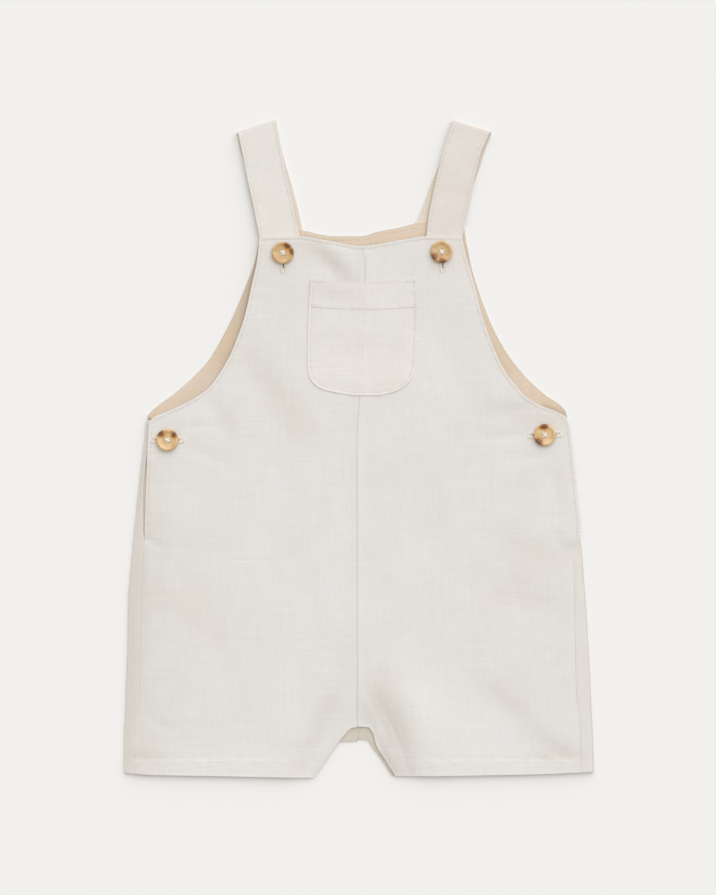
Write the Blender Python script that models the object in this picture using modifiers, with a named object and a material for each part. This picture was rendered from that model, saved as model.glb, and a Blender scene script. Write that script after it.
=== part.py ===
"""Short dungarees for a baby, in linen, laid out flat with the front up.

The garment rests on the XY plane. +Y runs from the hems to the straps, +X to the right of
someone who looks down on the front, and +Z up. Left and right are named from that view.
The origin is at the middle of the outline, on the surface that the garment lies on.
Sizes and tables are in millimetres, and the meshes in metres.
"""

import math
from collections import namedtuple

import bmesh
import bpy
import numpy as np

for old in list(bpy.data.objects):
    bpy.data.objects.remove(old, do_unlink=True)
garment = bpy.data.collections.new("short_dungarees")
cutters = bpy.data.collections.new("cutters")
bpy.context.scene.collection.children.link(garment)
bpy.context.scene.collection.children.link(cutters)

MM = 0.001

# Walls and gaps.
CLOTH = 1.1
STRAP_WALL = 1.4
POCKET_WALL = 1.0
GAP = 0.3
SEAM_GAP = 0.4

# How high the layers lie: the outside of the front above the floor, and what lifts it. ROOM is
# spare height where the front's flat faces cut across a rise.
ROOM = 0.1
BODY_TOP = 3.5
CHEST_TOP = 4.6
SIDE_RADIUS = 2.05
SIDE_TOP = 2 * SIDE_RADIUS
INSEAM_TOP = 2.6
HEM_TOP = 3.1
FACING_TOP = 2 * CLOTH + GAP
STRAP_RADIUS = 2.1
STRAP_TOP = 2 * STRAP_RADIUS
OVER_FACING = FACING_TOP + GAP + CLOTH + ROOM
OVER_STRAP = STRAP_TOP + GAP + CLOTH + ROOM
OVER_WRAP = SIDE_TOP + GAP + CLOTH

# Heights along the garment, measured from the origin.
BIB_Y = 144.0
NECK_Y = 146.0
STRAP_END_Y = 117.0
SLIT_TOP_Y = 19.5
SLIT_FOOT_Y = -62.0
HEM_Y = -222.0
HEM_DEPTH = 10.0
FACING_END_Y = 20.6
PLACKET_TOP_Y = SLIT_TOP_Y - 0.6
PLACKET_FOOT_Y = SLIT_FOOT_Y - 5.0

# Widths: of the stands that the side buttons are sewn to, how far inside the fold they start,
# and how far the facing stays inside the back's own edge.
PLACKET_WIDTH = 23.0
PLACKET_INSET = 2.4
FACING_INSET = 0.5

# Where the front passes from one height to the next, as the places where it starts and ends:
# in from its outer edge, out from the centre seam, in from the inner edges of the legs, and up
# the body over the waist and over the lower edge of the facing.
SIDE_SLOPE = (32.0, 4.0)
SEAM_SLOPE = (6.0, 1.0)
INSEAM_SLOPE = (6.0, 0.5)
WAIST_SLOPE = (-25.0, 8.0)
FACING_SLOPE = (4.0, 18.0)
# The same round what lies under it: the plackets and the ends of the straps.
PLACKET_SIDE_SLOPE = (PLACKET_WIDTH + 16, PLACKET_WIDTH + 6)
PLACKET_FOOT_SLOPE = (SLIT_FOOT_Y - 24, SLIT_FOOT_Y - 12)
STRAP_SIDE_SLOPE = (15.0, 2.0)
STRAP_END_SLOPE = (STRAP_END_Y - 17, STRAP_END_Y - 2)

# The ridge that the centre seam's turnings make, the step at the edge of a turned hem, the
# share by which the hem settles to its own height, and how much a fold keeps at its ends.
SEAM_RIDGE = 0.25
HEM_RIDGE = 0.3
HEM_STEP = 0.8
HEM_SETTLE = 0.7
FOLD_END = 0.12

# The pocket's top hem, how far its mouth dips in the middle, and where and how it gapes.
POCKET_HEM = 18.5
POCKET_MIDDLE_X = 3.0
POCKET_MOUTH_DIP = 1.7
POCKET_GAPE = 0.7
POCKET_GAPE_X = -14.0
POCKET_GAPE_SLOPE = (20.0, 4.0)
POCKET_GAPE_DEPTH = 14.0

# Buttons with four holes.
BUTTON_RADIUS = 7.5
BUTTON_HEIGHT = 2.6
BUTTON_HOLE = 1.7
BUTTON_HOLE_SPACING = 3.0
BUTTON_SIDES = 28
BUTTON_HOLE_SIDES = 10

# The grids of points. In the front's halves the columns are this far from the seam and from
# the outer edge, with a few more between them, and close up where the half is narrower.
SEAM_COLUMNS = (0, 5, 11, 18, 26, 38)
EDGE_COLUMNS = (0, 4, 10, 17, 30)
MORE_COLUMNS = 2
FULL_WIDTH = 130.0
LEVEL_STEP = 18.0
BACK_COLUMNS = 6
SIDE_TURNS = 5
FACING_COLUMNS = 14
PLACKET_COLUMNS = 3
STRAP_COLUMNS = 4
STRAP_TURNS = 6
POCKET_COLUMNS = 12
POCKET_STEP = 9.0
# How far below the top edges the rows of points bend to the line of the edge.
BIB_EASE = 40.0
NECK_EASE = 25.0

CREAM = (0.76, 0.73, 0.68)
TAN = (0.70, 0.58, 0.45)
HORN = (0.62, 0.40, 0.18)


def table(columns, *rows):
    """Rows of numbers whose columns have names."""
    row_type = namedtuple("Row", columns)
    return [row_type(*row) for row in rows]


# The outline at each level y: x of the back's and the front's edges, on both sides. Above the
# side openings these are the armholes. Below them the front's edges are the side seams, and
# the back comes round the fold at its own edge to meet them.
LEVELS = table(
    "y back_left front_left front_right back_right",
    (144, -68.2, -67.7, 70.0, 71.4),
    (130, -70.6, -69.0, 73.1, 74.7),
    (110, -77.5, -73.2, 78.9, 80.6),
    (90, -85.9, -77.7, 83.8, 87.9),
    (75, -93.5, -83.0, 89.1, 94.9),
    (62, -101.1, -88.5, 94.5, 103.0),
    (50, -111.9, -95.7, 101.1, 112.6),
    (42, -120.7, -101.7, 107.5, 120.7),
    (36, -127.9, -109.6, 112.9, 127.9),
    (30, -136.3, -120.4, 122.5, 136.9),
    (25, -141.9, -131.6, 135.3, 141.0),
    (21, -144.4, -140.4, 141.2, 141.6),
    (18, -144.9, -142.7, 142.4, 141.8),
    (10, -145.5, -143.1, 143.8, 142.8),
    (-5, -147.4, -144.0, 145.7, 144.6),
    (-30, -150.1, -145.1, 148.0, 146.9),
    (-60, -153.1, -146.0, 151.0, 150.2),
    (-62, -153.3, -146.1, 145.6, 150.8),
    (-100, -156.6, -148.1, 146.3, 153.8),
    (-140, -157.4, -149.0, 147.1, 156.2),
    (-165, -158.3, -149.7, 147.7, 157.5),
    (-175, -158.6, -150.7, 148.8, 158.0),
    (-190, -159.4, -152.7, 150.3, 158.8),
    (-222, -159.9, -153.0, 150.3, 159.9),
)

# How far the back's cloth, once round the fold, reaches in under the front's edge. Below zero
# it stops short of it: the left side opening gapes, and the side seams are 0.4 apart.
LAPS = table(
    "y left right",
    (19.5, 1.4, 5.4),
    (10, 1.3, 5.8),
    (-5, -0.3, 5.8),
    (-30, -1.8, 5.6),
    (-60, -0.6, 5.2),
    (-62, -0.4, -0.4),
    (-222, -0.4, -0.4),
)

# The seam down the middle of the front.
CENTRE = table(
    "y x",
    (138, 1.4),
    (125, 3.0),
    (110, 2.7),
    (77, 2.0),
    (36, 0.0),
    (2, -1.7),
    (-189, -1.7),
)

# The inner edges of the legs, from the crotch down.
FRONT_LEFT_LEG = table(
    "y x",
    (-189.3, -1.9),
    (-190.0, -5.4),
    (-192.0, -7.6),
    (-195.0, -10.2),
    (-199.0, -13.4),
    (-204.0, -17.2),
    (-212.0, -23.3),
    (-222.0, -31.3),
)
FRONT_RIGHT_LEG = table(
    "y x",
    (-188.8, -1.5),
    (-189.5, 6.6),
    (-191.5, 8.4),
    (-194.3, 9.8),
    (-198.0, 10.7),
    (-202.2, 11.9),
    (-209.0, 16.3),
    (-222.0, 24.8),
)
BACK_LEFT_LEG = table(
    "y x",
    (-198.8, -1.9),
    (-199.6, -14.2),
    (-204.0, -17.6),
    (-212.0, -23.8),
    (-222.0, -31.8),
)
BACK_RIGHT_LEG = table(
    "y x",
    (-197.6, -1.5),
    (-198.3, 6.1),
    (-202.8, 8.9),
    (-208.0, 12.9),
    (-213.5, 16.8),
    (-222.0, 22.4),
)

# The edges that run across: the top of the bib, the back's neckline, and the hems.
BIB_TOP = table(
    "x y",
    (-68, 143.9),
    (-41, 144.7),
    (-32, 143.5),
    (-20, 141.4),
    (1, 138.0),
    (31, 142.4),
    (45, 144.5),
    (70, 143.9),
)
NECKLINE = table(
    "x y",
    (-68, 145.4),
    (-52, 147.6),
    (-38, 148.6),
    (-27, 146.2),
    (-16, 144.8),
    (1, 144.8),
    (14, 148.2),
    (27, 150.6),
    (39, 153.3),
    (71, 153.4),
)
HEM = table(
    "x y",
    (-160, -220.0),
    (-140, -221.3),
    (-100, -222.0),
    (-60, -222.8),
    (-32, -223.4),
    (24, -222.2),
    (60, -222.0),
    (100, -221.3),
    (125, -220.8),
    (160, -219.3),
)

# Sections across each strap, from its end behind the bib up to the fold, and back down.
LEFT_STRAP_FRONT = table(
    "left_x left_y right_x right_y",
    (-62.5, 117.0, -34.7, 117.5),
    (-67.7, 144.0, -40.3, 144.5),
    (-71.6, 164.2, -44.3, 164.2),
    (-75.9, 183.7, -48.6, 183.7),
    (-79.4, 201.6, -52.1, 201.0),
    (-82.4, 212.6, -56.6, 221.9),
)
LEFT_STRAP_BACK = table(
    "left_x left_y right_x right_y",
    (-83.2, 212.5, -56.2, 221.9),
    (-80.6, 202.0, -52.9, 205.0),
    (-77.4, 193.8, -50.0, 193.8),
    (-71.6, 174.4, -44.2, 174.4),
    (-66.3, 152.5, -39.2, 152.8),
    (-65.4, 146.7, -38.5, 149.3),
)
RIGHT_STRAP_FRONT = table(
    "left_x left_y right_x right_y",
    (42.6, 117.0, 67.2, 117.5),
    (45.8, 145.0, 70.8, 146.3),
    (47.4, 158.7, 72.8, 160.3),
    (50.5, 174.4, 75.6, 173.0),
    (54.0, 189.9, 79.9, 189.0),
    (57.5, 203.2, 83.0, 201.5),
    (63.3, 221.6, 88.5, 213.7),
)
RIGHT_STRAP_BACK = table(
    "left_x left_y right_x right_y",
    (63.7, 221.5, 89.6, 213.4),
    (58.5, 205.0, 86.0, 204.0),
    (53.4, 190.7, 81.7, 190.7),
    (50.5, 183.7, 79.2, 183.7),
    (45.0, 168.1, 73.0, 168.5),
    (39.4, 153.8, 66.5, 153.9),
)

# The patch pocket, from its mouth down to its rounded foot.
POCKET = table(
    "y left right",
    (115.3, -32.6, 38.8),
    (97.0, -34.0, 40.1),
    (72.0, -34.9, 39.4),
    (56.0, -34.8, 38.5),
    (49.0, -33.6, 36.2),
    (44.5, -30.6, 32.9),
    (41.0, -25.6, 28.6),
    (38.6, -17.0, 23.2),
    (36.4, -3.0, 13.0),
)

# Where the front lies over the turned edge of the back, on the left (-1) and the right (1): it
# comes down between these distances in from its own edge, and above and below these heights.
LIFTS = table(
    "side in_start in_full low_start low_full high_start high_full",
    (-1, 10, 4, -20, -6, 34, 21),
    (1, 17, 10, -76, -63, 38, 22),
)

# The folds of the front that show most: three points along each, how high it stands (a hollow
# is below zero) and how wide it is to each side.
FOLDS = table(
    "x1 y1 x2 y2 x3 y3 height width",
    (1, -168, 11, -188, 25, -221, 1.5, 4.5),
    (12, -168, 22, -189, 32, -223, -0.7, 2.6),
    (17, -164, 28, -187, 37, -223, -0.5, 6.5),
    (-10, -165, -20, -183, -28, -211, -0.7, 6.5),
    (-38, 141, -20, 132, -5, 121, -0.8, 8.0),
    (-147, -63, -141, -79, -135, -97, -0.4, 5.0),
    (-147, -62, -140, -65, -132, -67, -0.4, 3.5),
    (147, -64, 140, -62, 131, -58, -0.5, 4.5),
    (98, 30, 107, 26, 118, 23, -0.5, 6.0),
    (127, -14, 136, -31, 146, -62, -0.4, 5.0),
    (-82, 68, -62, 34, -40, -2, -0.4, 12.0),
    (85, -157, 103, -174, 121, -188, -0.5, 8.0),
)

# A button's section, from the middle of its dish over the rim and down to the underside, as
# shares of its radius and height.
BUTTON_SECTION = table(
    "out up",
    (0.0, 0.69),
    (0.57, 0.73),
    (0.71, 0.88),
    (0.82, 1.0),
    (0.92, 0.94),
    (1.0, 0.69),
    (0.967, 0.35),
    (0.79, 0.04),
    (0.6, 0.0),
    (0.0, 0.0),
)
BUTTONS = table(
    "name x y turn",
    ("bib_button_left", -51.8, 133.1, 10),
    ("bib_button_right", 56.0, 133.8, -8),
    ("side_button_left", -130.2, 6.1, 12),
    ("side_button_right", 126.1, 9.5, 3),
)


def rise(value, start, full):
    """0 at start and before it, 1 at full and past it, with a smooth step between them."""
    share = min(1.0, max(0.0, (value - start) / (full - start)))
    return share * share * (3 - 2 * share)


def through(rows, across, along):
    """A smooth curve through one column of a table against another, with no overshoot."""
    points = sorted((getattr(row, across), getattr(row, along)) for row in rows)
    at, value = np.array(points, float).T
    slope = np.diff(value) / np.diff(at)
    product = slope[:-1] * slope[1:]
    total = np.where(slope[:-1] + slope[1:] == 0, 1, slope[:-1] + slope[1:])
    inner = np.where(product > 0, 2 * product / total, 0)
    tangent = np.concatenate([slope[:1], inner, slope[-1:]])

    def curve(where):
        k = int(np.clip(np.searchsorted(at, where) - 1, 0, len(at) - 2))
        width = at[k + 1] - at[k]
        t = min(1.0, max(0.0, (where - at[k]) / width))
        start = value[k] * (1 + 2 * t) * (1 - t) ** 2 + tangent[k] * width * t * (1 - t) ** 2
        end = value[k + 1] * t * t * (3 - 2 * t) - tangent[k + 1] * width * t * t * (1 - t)
        return float(start + end)

    return curve


def heights(top, bottom, marks, step):
    """Heights from top down to bottom that pass every mark between, at most a step apart."""
    stops = sorted({top, bottom, *(m for m in marks if bottom < m < top)}, reverse=True)
    found = [top]
    for above, below in zip(stops, stops[1:]):
        parts = math.ceil((above - below) / step)
        found += [above + (below - above) * (k + 1) / parts for k in range(parts)]
    return found


back_left = through(LEVELS, "y", "back_left")
front_left = through(LEVELS, "y", "front_left")
front_right = through(LEVELS, "y", "front_right")
back_right = through(LEVELS, "y", "back_right")
lap_left = through(LAPS, "y", "left")
lap_right = through(LAPS, "y", "right")
centre = through(CENTRE, "y", "x")
front_left_leg = through(FRONT_LEFT_LEG, "y", "x")
front_right_leg = through(FRONT_RIGHT_LEG, "y", "x")
back_left_leg = through(BACK_LEFT_LEG, "y", "x")
back_right_leg = through(BACK_RIGHT_LEG, "y", "x")
bib_top = through(BIB_TOP, "x", "y")
neckline = through(NECKLINE, "x", "y")
hem = through(HEM, "x", "y")


def hem_shift(x, y):
    """Moves the lowest rows of a panel onto the hem's own line."""
    return (hem(x) - HEM_Y) * rise(y, HEM_Y + 2 * HEM_DEPTH, HEM_Y)


def fold_height(x, y):
    """What the folds add to the front's height at one place."""
    total = 0.0
    for fold in FOLDS:
        t = np.linspace(0, 1, 21)
        # The curve passes its middle point halfway along.
        handle_x = 2 * fold.x2 - (fold.x1 + fold.x3) / 2
        handle_y = 2 * fold.y2 - (fold.y1 + fold.y3) / 2
        line_x = fold.x1 * (1 - t) ** 2 + 2 * handle_x * t * (1 - t) + fold.x3 * t * t
        line_y = fold.y1 * (1 - t) ** 2 + 2 * handle_y * t * (1 - t) + fold.y3 * t * t
        away = np.hypot(line_x - x, line_y - y)
        nearest = int(away.argmin())
        ends = math.sin(math.pi * (FOLD_END + (1 - 2 * FOLD_END) * t[nearest]))
        total += fold.height * ends * math.exp(-((away[nearest] / fold.width) ** 2))
    return total


def inseam_distance(x, y):
    """How far a place on the front is from the edge of the crotch or of a leg."""
    best = math.inf
    for rows in (FRONT_LEFT_LEG, FRONT_RIGHT_LEG):
        for a, b in zip(rows, rows[1:]):
            dx, dy = b.x - a.x, b.y - a.y
            t = ((x - a.x) * dx + (y - a.y) * dy) / (dx * dx + dy * dy)
            t = min(1.0, max(0.0, t))
            best = min(best, math.hypot(a.x + t * dx - x, a.y + t * dy - y))
    return best


def over_strap(x, y, rows):
    """1 where the end of a strap lies under the bib, 0 well clear of it."""
    left = through(rows, "left_y", "left_x")(y)
    right = through(rows, "right_y", "right_x")(y)
    outside = max(left - x, x - right)
    return rise(outside, *STRAP_SIDE_SLOPE) * rise(y, *STRAP_END_SLOPE)


def over_turned_edge(x, y):
    """1 where the front lies over the turned edge of the back, 0 well clear of it."""
    most = 0.0
    for lift in LIFTS:
        inside = x - front_left(y) if lift.side < 0 else front_right(y) - x
        share = rise(inside, lift.in_start, lift.in_full)
        share *= rise(y, lift.low_start, lift.low_full)
        share *= rise(y, lift.high_start, lift.high_full)
        most = max(most, share)
    return most


def front_top(x, y):
    """How high the outside of the front lies at one place."""
    height = BODY_TOP + (CHEST_TOP - BODY_TOP) * rise(y, *WAIST_SLOPE)
    side = min(x - front_left(y), front_right(y) - x)
    height += (SIDE_TOP - height) * rise(side, *SIDE_SLOPE)
    height += SEAM_RIDGE * rise(abs(x - centre(y)), *SEAM_SLOPE)
    height += fold_height(x, y)
    on_placket = rise(side, *PLACKET_SIDE_SLOPE) * rise(y, *PLACKET_FOOT_SLOPE)
    held_up = max(rise(y, *FACING_SLOPE), on_placket)
    height = max(height, INSEAM_TOP + (OVER_FACING - INSEAM_TOP) * held_up)
    height += (HEM_TOP - height) * HEM_SETTLE * rise(y, HEM_Y + 2 * HEM_DEPTH, HEM_Y)
    height += HEM_RIDGE * rise(y, HEM_Y + HEM_DEPTH + HEM_STEP, HEM_Y + HEM_DEPTH)
    height += (INSEAM_TOP - height) * rise(inseam_distance(x, y), *INSEAM_SLOPE) ** 2
    covered = max(over_strap(x, y, LEFT_STRAP_FRONT), over_strap(x, y, RIGHT_STRAP_FRONT))
    height += (OVER_STRAP - height) * covered
    return height + (OVER_WRAP - height) * over_turned_edge(x, y)


def material(name, colour, roughness):
    """A plain finish."""
    made = bpy.data.materials.new(name)
    made.use_nodes = True
    shader = made.node_tree.nodes["Principled BSDF"]
    shader.inputs["Base Color"].default_value = (*colour, 1)
    shader.inputs["Roughness"].default_value = roughness
    shader.inputs["Metallic"].default_value = 0.0
    return made


def add(name, mesh_data, colour, roughness, collection):
    """A new object for finished mesh data, with its own finish."""
    made = bpy.data.objects.new(name, mesh_data)
    made.data.materials.append(material(name + "_finish", colour, roughness))
    collection.objects.link(made)
    return made


def cloth(name, columns, rows, place, wall, colour, dropped=None):
    """A sheet of cloth: a grid whose points are set by place(column, row), which gives its
    outside in millimetres, with the wall on its inner side. Faces that dropped(column, row)
    names are left out."""
    grid = bmesh.new()
    bmesh.ops.create_grid(grid, x_segments=columns, y_segments=rows, size=0.5)
    spots = {v: (round((v.co.x + 0.5) * columns), round((v.co.y + 0.5) * rows)) for v in grid.verts}
    if dropped:
        gone = []
        for face in grid.faces:
            column = min(spots[v][0] for v in face.verts)
            row = min(spots[v][1] for v in face.verts)
            if dropped(column, row):
                gone.append(face)
        bmesh.ops.delete(grid, geom=gone, context="FACES")
    for v in grid.verts:
        v.co = [MM * value for value in place(*spots[v])]
    data = bpy.data.meshes.new(name)
    grid.to_mesh(data)
    grid.free()
    data.shade_smooth()
    made = add(name, data, colour, 0.9, garment)
    solid = made.modifiers.new("wall", "SOLIDIFY")
    solid.thickness = wall * MM
    solid.offset = -1
    solid.use_quality_normals = True
    return made


def column_places(width):
    """How far each column of a front half's points is from its seam."""
    scale = min(1.0, width / FULL_WIDTH)
    near = [scale * value for value in SEAM_COLUMNS]
    far = [width - scale * value for value in reversed(EDGE_COLUMNS)]
    step = (far[0] - near[-1]) / (MORE_COLUMNS + 1)
    return near + [near[-1] + step * (k + 1) for k in range(MORE_COLUMNS)] + far


def front_panel(name, outer, inner, leg, leg_rows):
    """Half of the front: bib, body and leg in one piece, from the bib's top to the hem."""
    marks = [row.y for row in LEVELS + leg_rows] + [HEM_Y + HEM_DEPTH, STRAP_END_Y]
    levels = heights(BIB_Y, HEM_Y, marks, LEVEL_STEP)
    levels.reverse()
    columns = len(SEAM_COLUMNS) + MORE_COLUMNS + len(EDGE_COLUMNS) - 1
    leg_top = max(row.y for row in leg_rows)

    def place(column, row):
        y = levels[row]
        seam = leg(y) if y < leg_top else inner(y)
        width = abs(outer(y) - seam)
        places = column_places(width)
        x = seam + places[column] if outer(y) > seam else seam - places[columns - column]
        y += (bib_top(x) - BIB_Y) * rise(y, BIB_Y - BIB_EASE, BIB_Y)
        y += hem_shift(x, y)
        return x, y, front_top(x, y)

    return cloth(name, columns, len(levels) - 1, place, CLOTH, CREAM)


def back_panel(name, side, edge, wrap, leg, leg_rows):
    """Half of the back. It lies on the floor out to the fold at the side, comes round the
    fold, and runs on over the top to the side seam. side is -1 for left and 1 for right."""
    marks = [row.y for row in LEVELS + LAPS + leg_rows]
    levels = heights(NECK_Y, HEM_Y, marks, LEVEL_STEP)
    levels.reverse()
    flat, turns = BACK_COLUMNS, SIDE_TURNS
    columns = flat + turns + 1
    leg_top = max(row.y for row in leg_rows)
    wrap_row = levels.index(SLIT_TOP_Y)

    def place(column, row):
        y = levels[row]
        middle = leg(y) if y < leg_top else centre(y) + side * SEAM_GAP / 2
        if side > 0:
            column = columns - column
        start = edge(y) if row > wrap_row else edge(y) - side * SIDE_RADIUS
        if column <= flat:
            x, z = middle + (start - middle) * column / flat, 0.0
        elif column <= flat + turns:
            angle = math.pi * (column - flat) / turns
            x = start + side * SIDE_RADIUS * math.sin(angle)
            z = SIDE_RADIUS * (1 - math.cos(angle))
        else:
            x, z = wrap(y), SIDE_TOP
        y += (neckline(x) - NECK_Y) * rise(y, NECK_Y - NECK_EASE, NECK_Y)
        return x, y + hem_shift(x, y), z

    def dropped(column, row):
        if side > 0:
            column = columns - 1 - column
        return column >= flat and row >= wrap_row

    return cloth(name, columns, len(levels) - 1, place, CLOTH, CREAM, dropped)


def facing():
    """The tan facing that lies on the inside of the back bib, out to its armholes."""
    levels = heights(NECK_Y, FACING_END_Y, [row.y for row in LEVELS], LEVEL_STEP)
    levels.reverse()

    def place(column, row):
        y = levels[row]
        left, right = back_left(y) + FACING_INSET, back_right(y) - FACING_INSET
        x = left + (right - left) * column / FACING_COLUMNS
        y += (neckline(x) - FACING_INSET - NECK_Y) * rise(y, NECK_Y - NECK_EASE, NECK_Y)
        return x, y, FACING_TOP

    return cloth("back_facing", FACING_COLUMNS, len(levels) - 1, place, CLOTH, TAN)


def strap(name, front_rows, back_rows):
    """One strap: a double strip that lies on itself, turned over at the top."""
    front, back = front_rows[-1], back_rows[0]
    across = np.array([front.right_x - front.left_x, front.right_y - front.left_y])
    outward = np.array([-across[1], across[0]]) / np.hypot(*across)
    sections = [(row, STRAP_TOP, 0.0) for row in front_rows]
    for k in range(1, STRAP_TURNS):
        angle = math.pi * k / STRAP_TURNS
        mixed = [a + (b - a) * k / STRAP_TURNS for a, b in zip(front, back)]
        height = STRAP_RADIUS * (1 + math.cos(angle))
        sections.append((mixed, height, STRAP_RADIUS * math.sin(angle)))
    sections += [(row, 0.0, 0.0) for row in back_rows]

    def place(column, row):
        (left_x, left_y, right_x, right_y), z, out = sections[row]
        share = column / STRAP_COLUMNS
        x = left_x + (right_x - left_x) * share + out * outward[0]
        y = left_y + (right_y - left_y) * share + out * outward[1]
        return x, y, z

    return cloth(name, STRAP_COLUMNS, len(sections) - 1, place, STRAP_WALL, CREAM)


def pocket():
    """The patch pocket, which lies on the front over the centre seam, with a deep top hem."""
    left, right = through(POCKET, "y", "left"), through(POCKET, "y", "right")
    top, foot = POCKET[0].y, POCKET[-1].y
    hem_line = top - POCKET_HEM
    marks = [row.y for row in POCKET] + [hem_line, hem_line - HEM_STEP]
    levels = heights(top, foot, marks, POCKET_STEP)
    levels.reverse()

    def place(column, row):
        y = levels[row]
        x = left(y) + (right(y) - left(y)) * column / POCKET_COLUMNS
        across = (x - POCKET_MIDDLE_X) / (POCKET[0].right - POCKET_MIDDLE_X)
        dip = POCKET_MOUTH_DIP * max(0.0, 1 - across * across)
        raised = HEM_RIDGE * rise(y, hem_line - HEM_STEP, hem_line)
        gape = POCKET_GAPE * rise(y, top - POCKET_GAPE_DEPTH, top)
        gape *= rise(abs(x - POCKET_GAPE_X), *POCKET_GAPE_SLOPE)
        y -= dip * rise(y, hem_line - POCKET_HEM, hem_line)
        return x, y, front_top(x, y) + GAP + POCKET_WALL + raised + gape

    return cloth("bib_pocket", POCKET_COLUMNS, len(levels) - 1, place, POCKET_WALL, CREAM)


def placket(name, side, edge, front_edge):
    """The button stand along one side opening. It is sewn on inside the back's turned edge
    and lies under the edge of the front."""
    levels = heights(PLACKET_TOP_Y, PLACKET_FOOT_Y, [row.y for row in LEVELS], LEVEL_STEP)
    levels.reverse()

    def place(column, row):
        y = levels[row]
        outer = edge(y) - side * PLACKET_INSET
        inner = front_edge(y) - side * PLACKET_WIDTH
        low, high = min(outer, inner), max(outer, inner)
        return low + (high - low) * column / PLACKET_COLUMNS, y, FACING_TOP

    return cloth(name, PLACKET_COLUMNS, len(levels) - 1, place, CLOTH, CREAM)


def button(name, x, y, turn):
    """A four-hole button with a raised rim round a shallow dish, on the front at x, y."""
    around = np.radians(np.arange(0, 360, 30))
    spots = [(x + BUTTON_RADIUS * math.cos(a), y + BUTTON_RADIUS * math.sin(a)) for a in around]
    base = max(front_top(*spot) for spot in [(x, y), *spots]) + GAP
    profile = [(BUTTON_RADIUS * row.out, BUTTON_HEIGHT * row.up) for row in BUTTON_SECTION]
    outline = bmesh.new()
    points = [outline.verts.new((r * MM, 0, z * MM)) for r, z in profile]
    for a, b in zip(points, points[1:]):
        outline.edges.new((a, b))
    data = bpy.data.meshes.new(name)
    outline.to_mesh(data)
    outline.free()
    made = add(name, data, HORN, 0.3, garment)
    made.location = (x * MM, y * MM, base * MM)
    made.rotation_euler = (0, 0, math.radians(turn))
    screw = made.modifiers.new("turned", "SCREW")
    screw.steps = screw.render_steps = BUTTON_SIDES
    screw.use_merge_vertices = True
    screw.merge_threshold = 0.00005
    screw.use_smooth_shade = True

    holes = bmesh.new()
    for side_x in (-0.5, 0.5):
        for side_y in (-0.5, 0.5):
            drilled = bmesh.ops.create_cone(
                holes,
                cap_ends=True,
                segments=BUTTON_HOLE_SIDES,
                radius1=BUTTON_HOLE / 2 * MM,
                radius2=BUTTON_HOLE / 2 * MM,
                depth=3 * BUTTON_HEIGHT * MM,
            )
            place = [side_x * BUTTON_HOLE_SPACING * MM, side_y * BUTTON_HOLE_SPACING * MM, 0]
            bmesh.ops.translate(holes, verts=drilled["verts"], vec=place)
    cutter_data = bpy.data.meshes.new(name + "_holes")
    holes.to_mesh(cutter_data)
    holes.free()
    cutter = bpy.data.objects.new(name + "_holes", cutter_data)
    cutters.objects.link(cutter)
    cutter.parent = made
    cutter.hide_render = True
    cutter.display_type = "WIRE"
    drill = made.modifiers.new("holes", "BOOLEAN")
    drill.operation = "DIFFERENCE"
    drill.solver = "EXACT"
    drill.object = cutter
    return made


def seam_left(y):
    """The left half's edge at the centre seam."""
    return centre(y) - SEAM_GAP / 2


def seam_right(y):
    """The right half's edge at the centre seam."""
    return centre(y) + SEAM_GAP / 2


def turned_left(y):
    """Where the back's cloth ends on the left, once round the fold."""
    return front_left(y) + lap_left(y)


def turned_right(y):
    """Where the back's cloth ends on the right, once round the fold."""
    return front_right(y) - lap_right(y)


back_panel("back_panel_left", -1, back_left, turned_left, back_left_leg, BACK_LEFT_LEG)
back_panel("back_panel_right", 1, back_right, turned_right, back_right_leg, BACK_RIGHT_LEG)
facing()
placket("side_placket_left", -1, back_left, front_left)
placket("side_placket_right", 1, back_right, front_right)
strap("strap_left", LEFT_STRAP_FRONT, LEFT_STRAP_BACK)
strap("strap_right", RIGHT_STRAP_FRONT, RIGHT_STRAP_BACK)
front_panel("front_panel_left", front_left, seam_left, front_left_leg, FRONT_LEFT_LEG)
front_panel("front_panel_right", front_right, seam_right, front_right_leg, FRONT_RIGHT_LEG)
pocket()
for row in BUTTONS:
    button(row.name, row.x, row.y, row.turn)
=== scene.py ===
"""Looks of a baby's short dungarees in off-white linen, laid out flat with the front up.

Everything is in the frame's own axes: +Y runs from the hems to the straps, +X to the right of
someone who looks down on the front, and +Z up from the surface that the garment lies on. The
tables and the place functions are in millimetres, and the meshes in metres.
"""

import math
from collections import namedtuple

import bmesh
import bpy
import numpy as np
from mathutils import Matrix, Vector


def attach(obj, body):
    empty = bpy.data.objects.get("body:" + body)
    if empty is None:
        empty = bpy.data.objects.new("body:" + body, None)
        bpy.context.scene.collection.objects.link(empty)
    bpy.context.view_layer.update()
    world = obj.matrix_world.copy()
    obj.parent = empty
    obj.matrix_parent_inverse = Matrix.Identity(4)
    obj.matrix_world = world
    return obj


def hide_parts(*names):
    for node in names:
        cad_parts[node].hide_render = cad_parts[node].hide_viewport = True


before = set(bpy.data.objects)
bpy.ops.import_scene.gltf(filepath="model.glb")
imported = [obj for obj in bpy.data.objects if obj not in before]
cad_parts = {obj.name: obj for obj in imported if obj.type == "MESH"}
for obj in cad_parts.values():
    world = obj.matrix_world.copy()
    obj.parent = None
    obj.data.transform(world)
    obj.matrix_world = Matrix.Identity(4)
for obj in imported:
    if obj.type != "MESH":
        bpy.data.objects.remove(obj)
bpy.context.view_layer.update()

# ---------------------------------------------------------------- the back
# Two halves of off-white linen, joined down the middle. Each lies on the surface, comes round
# the soft fold at the side, and runs in over the top to the side seam. Above the side openings
# it ends at the armhole.

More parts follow.
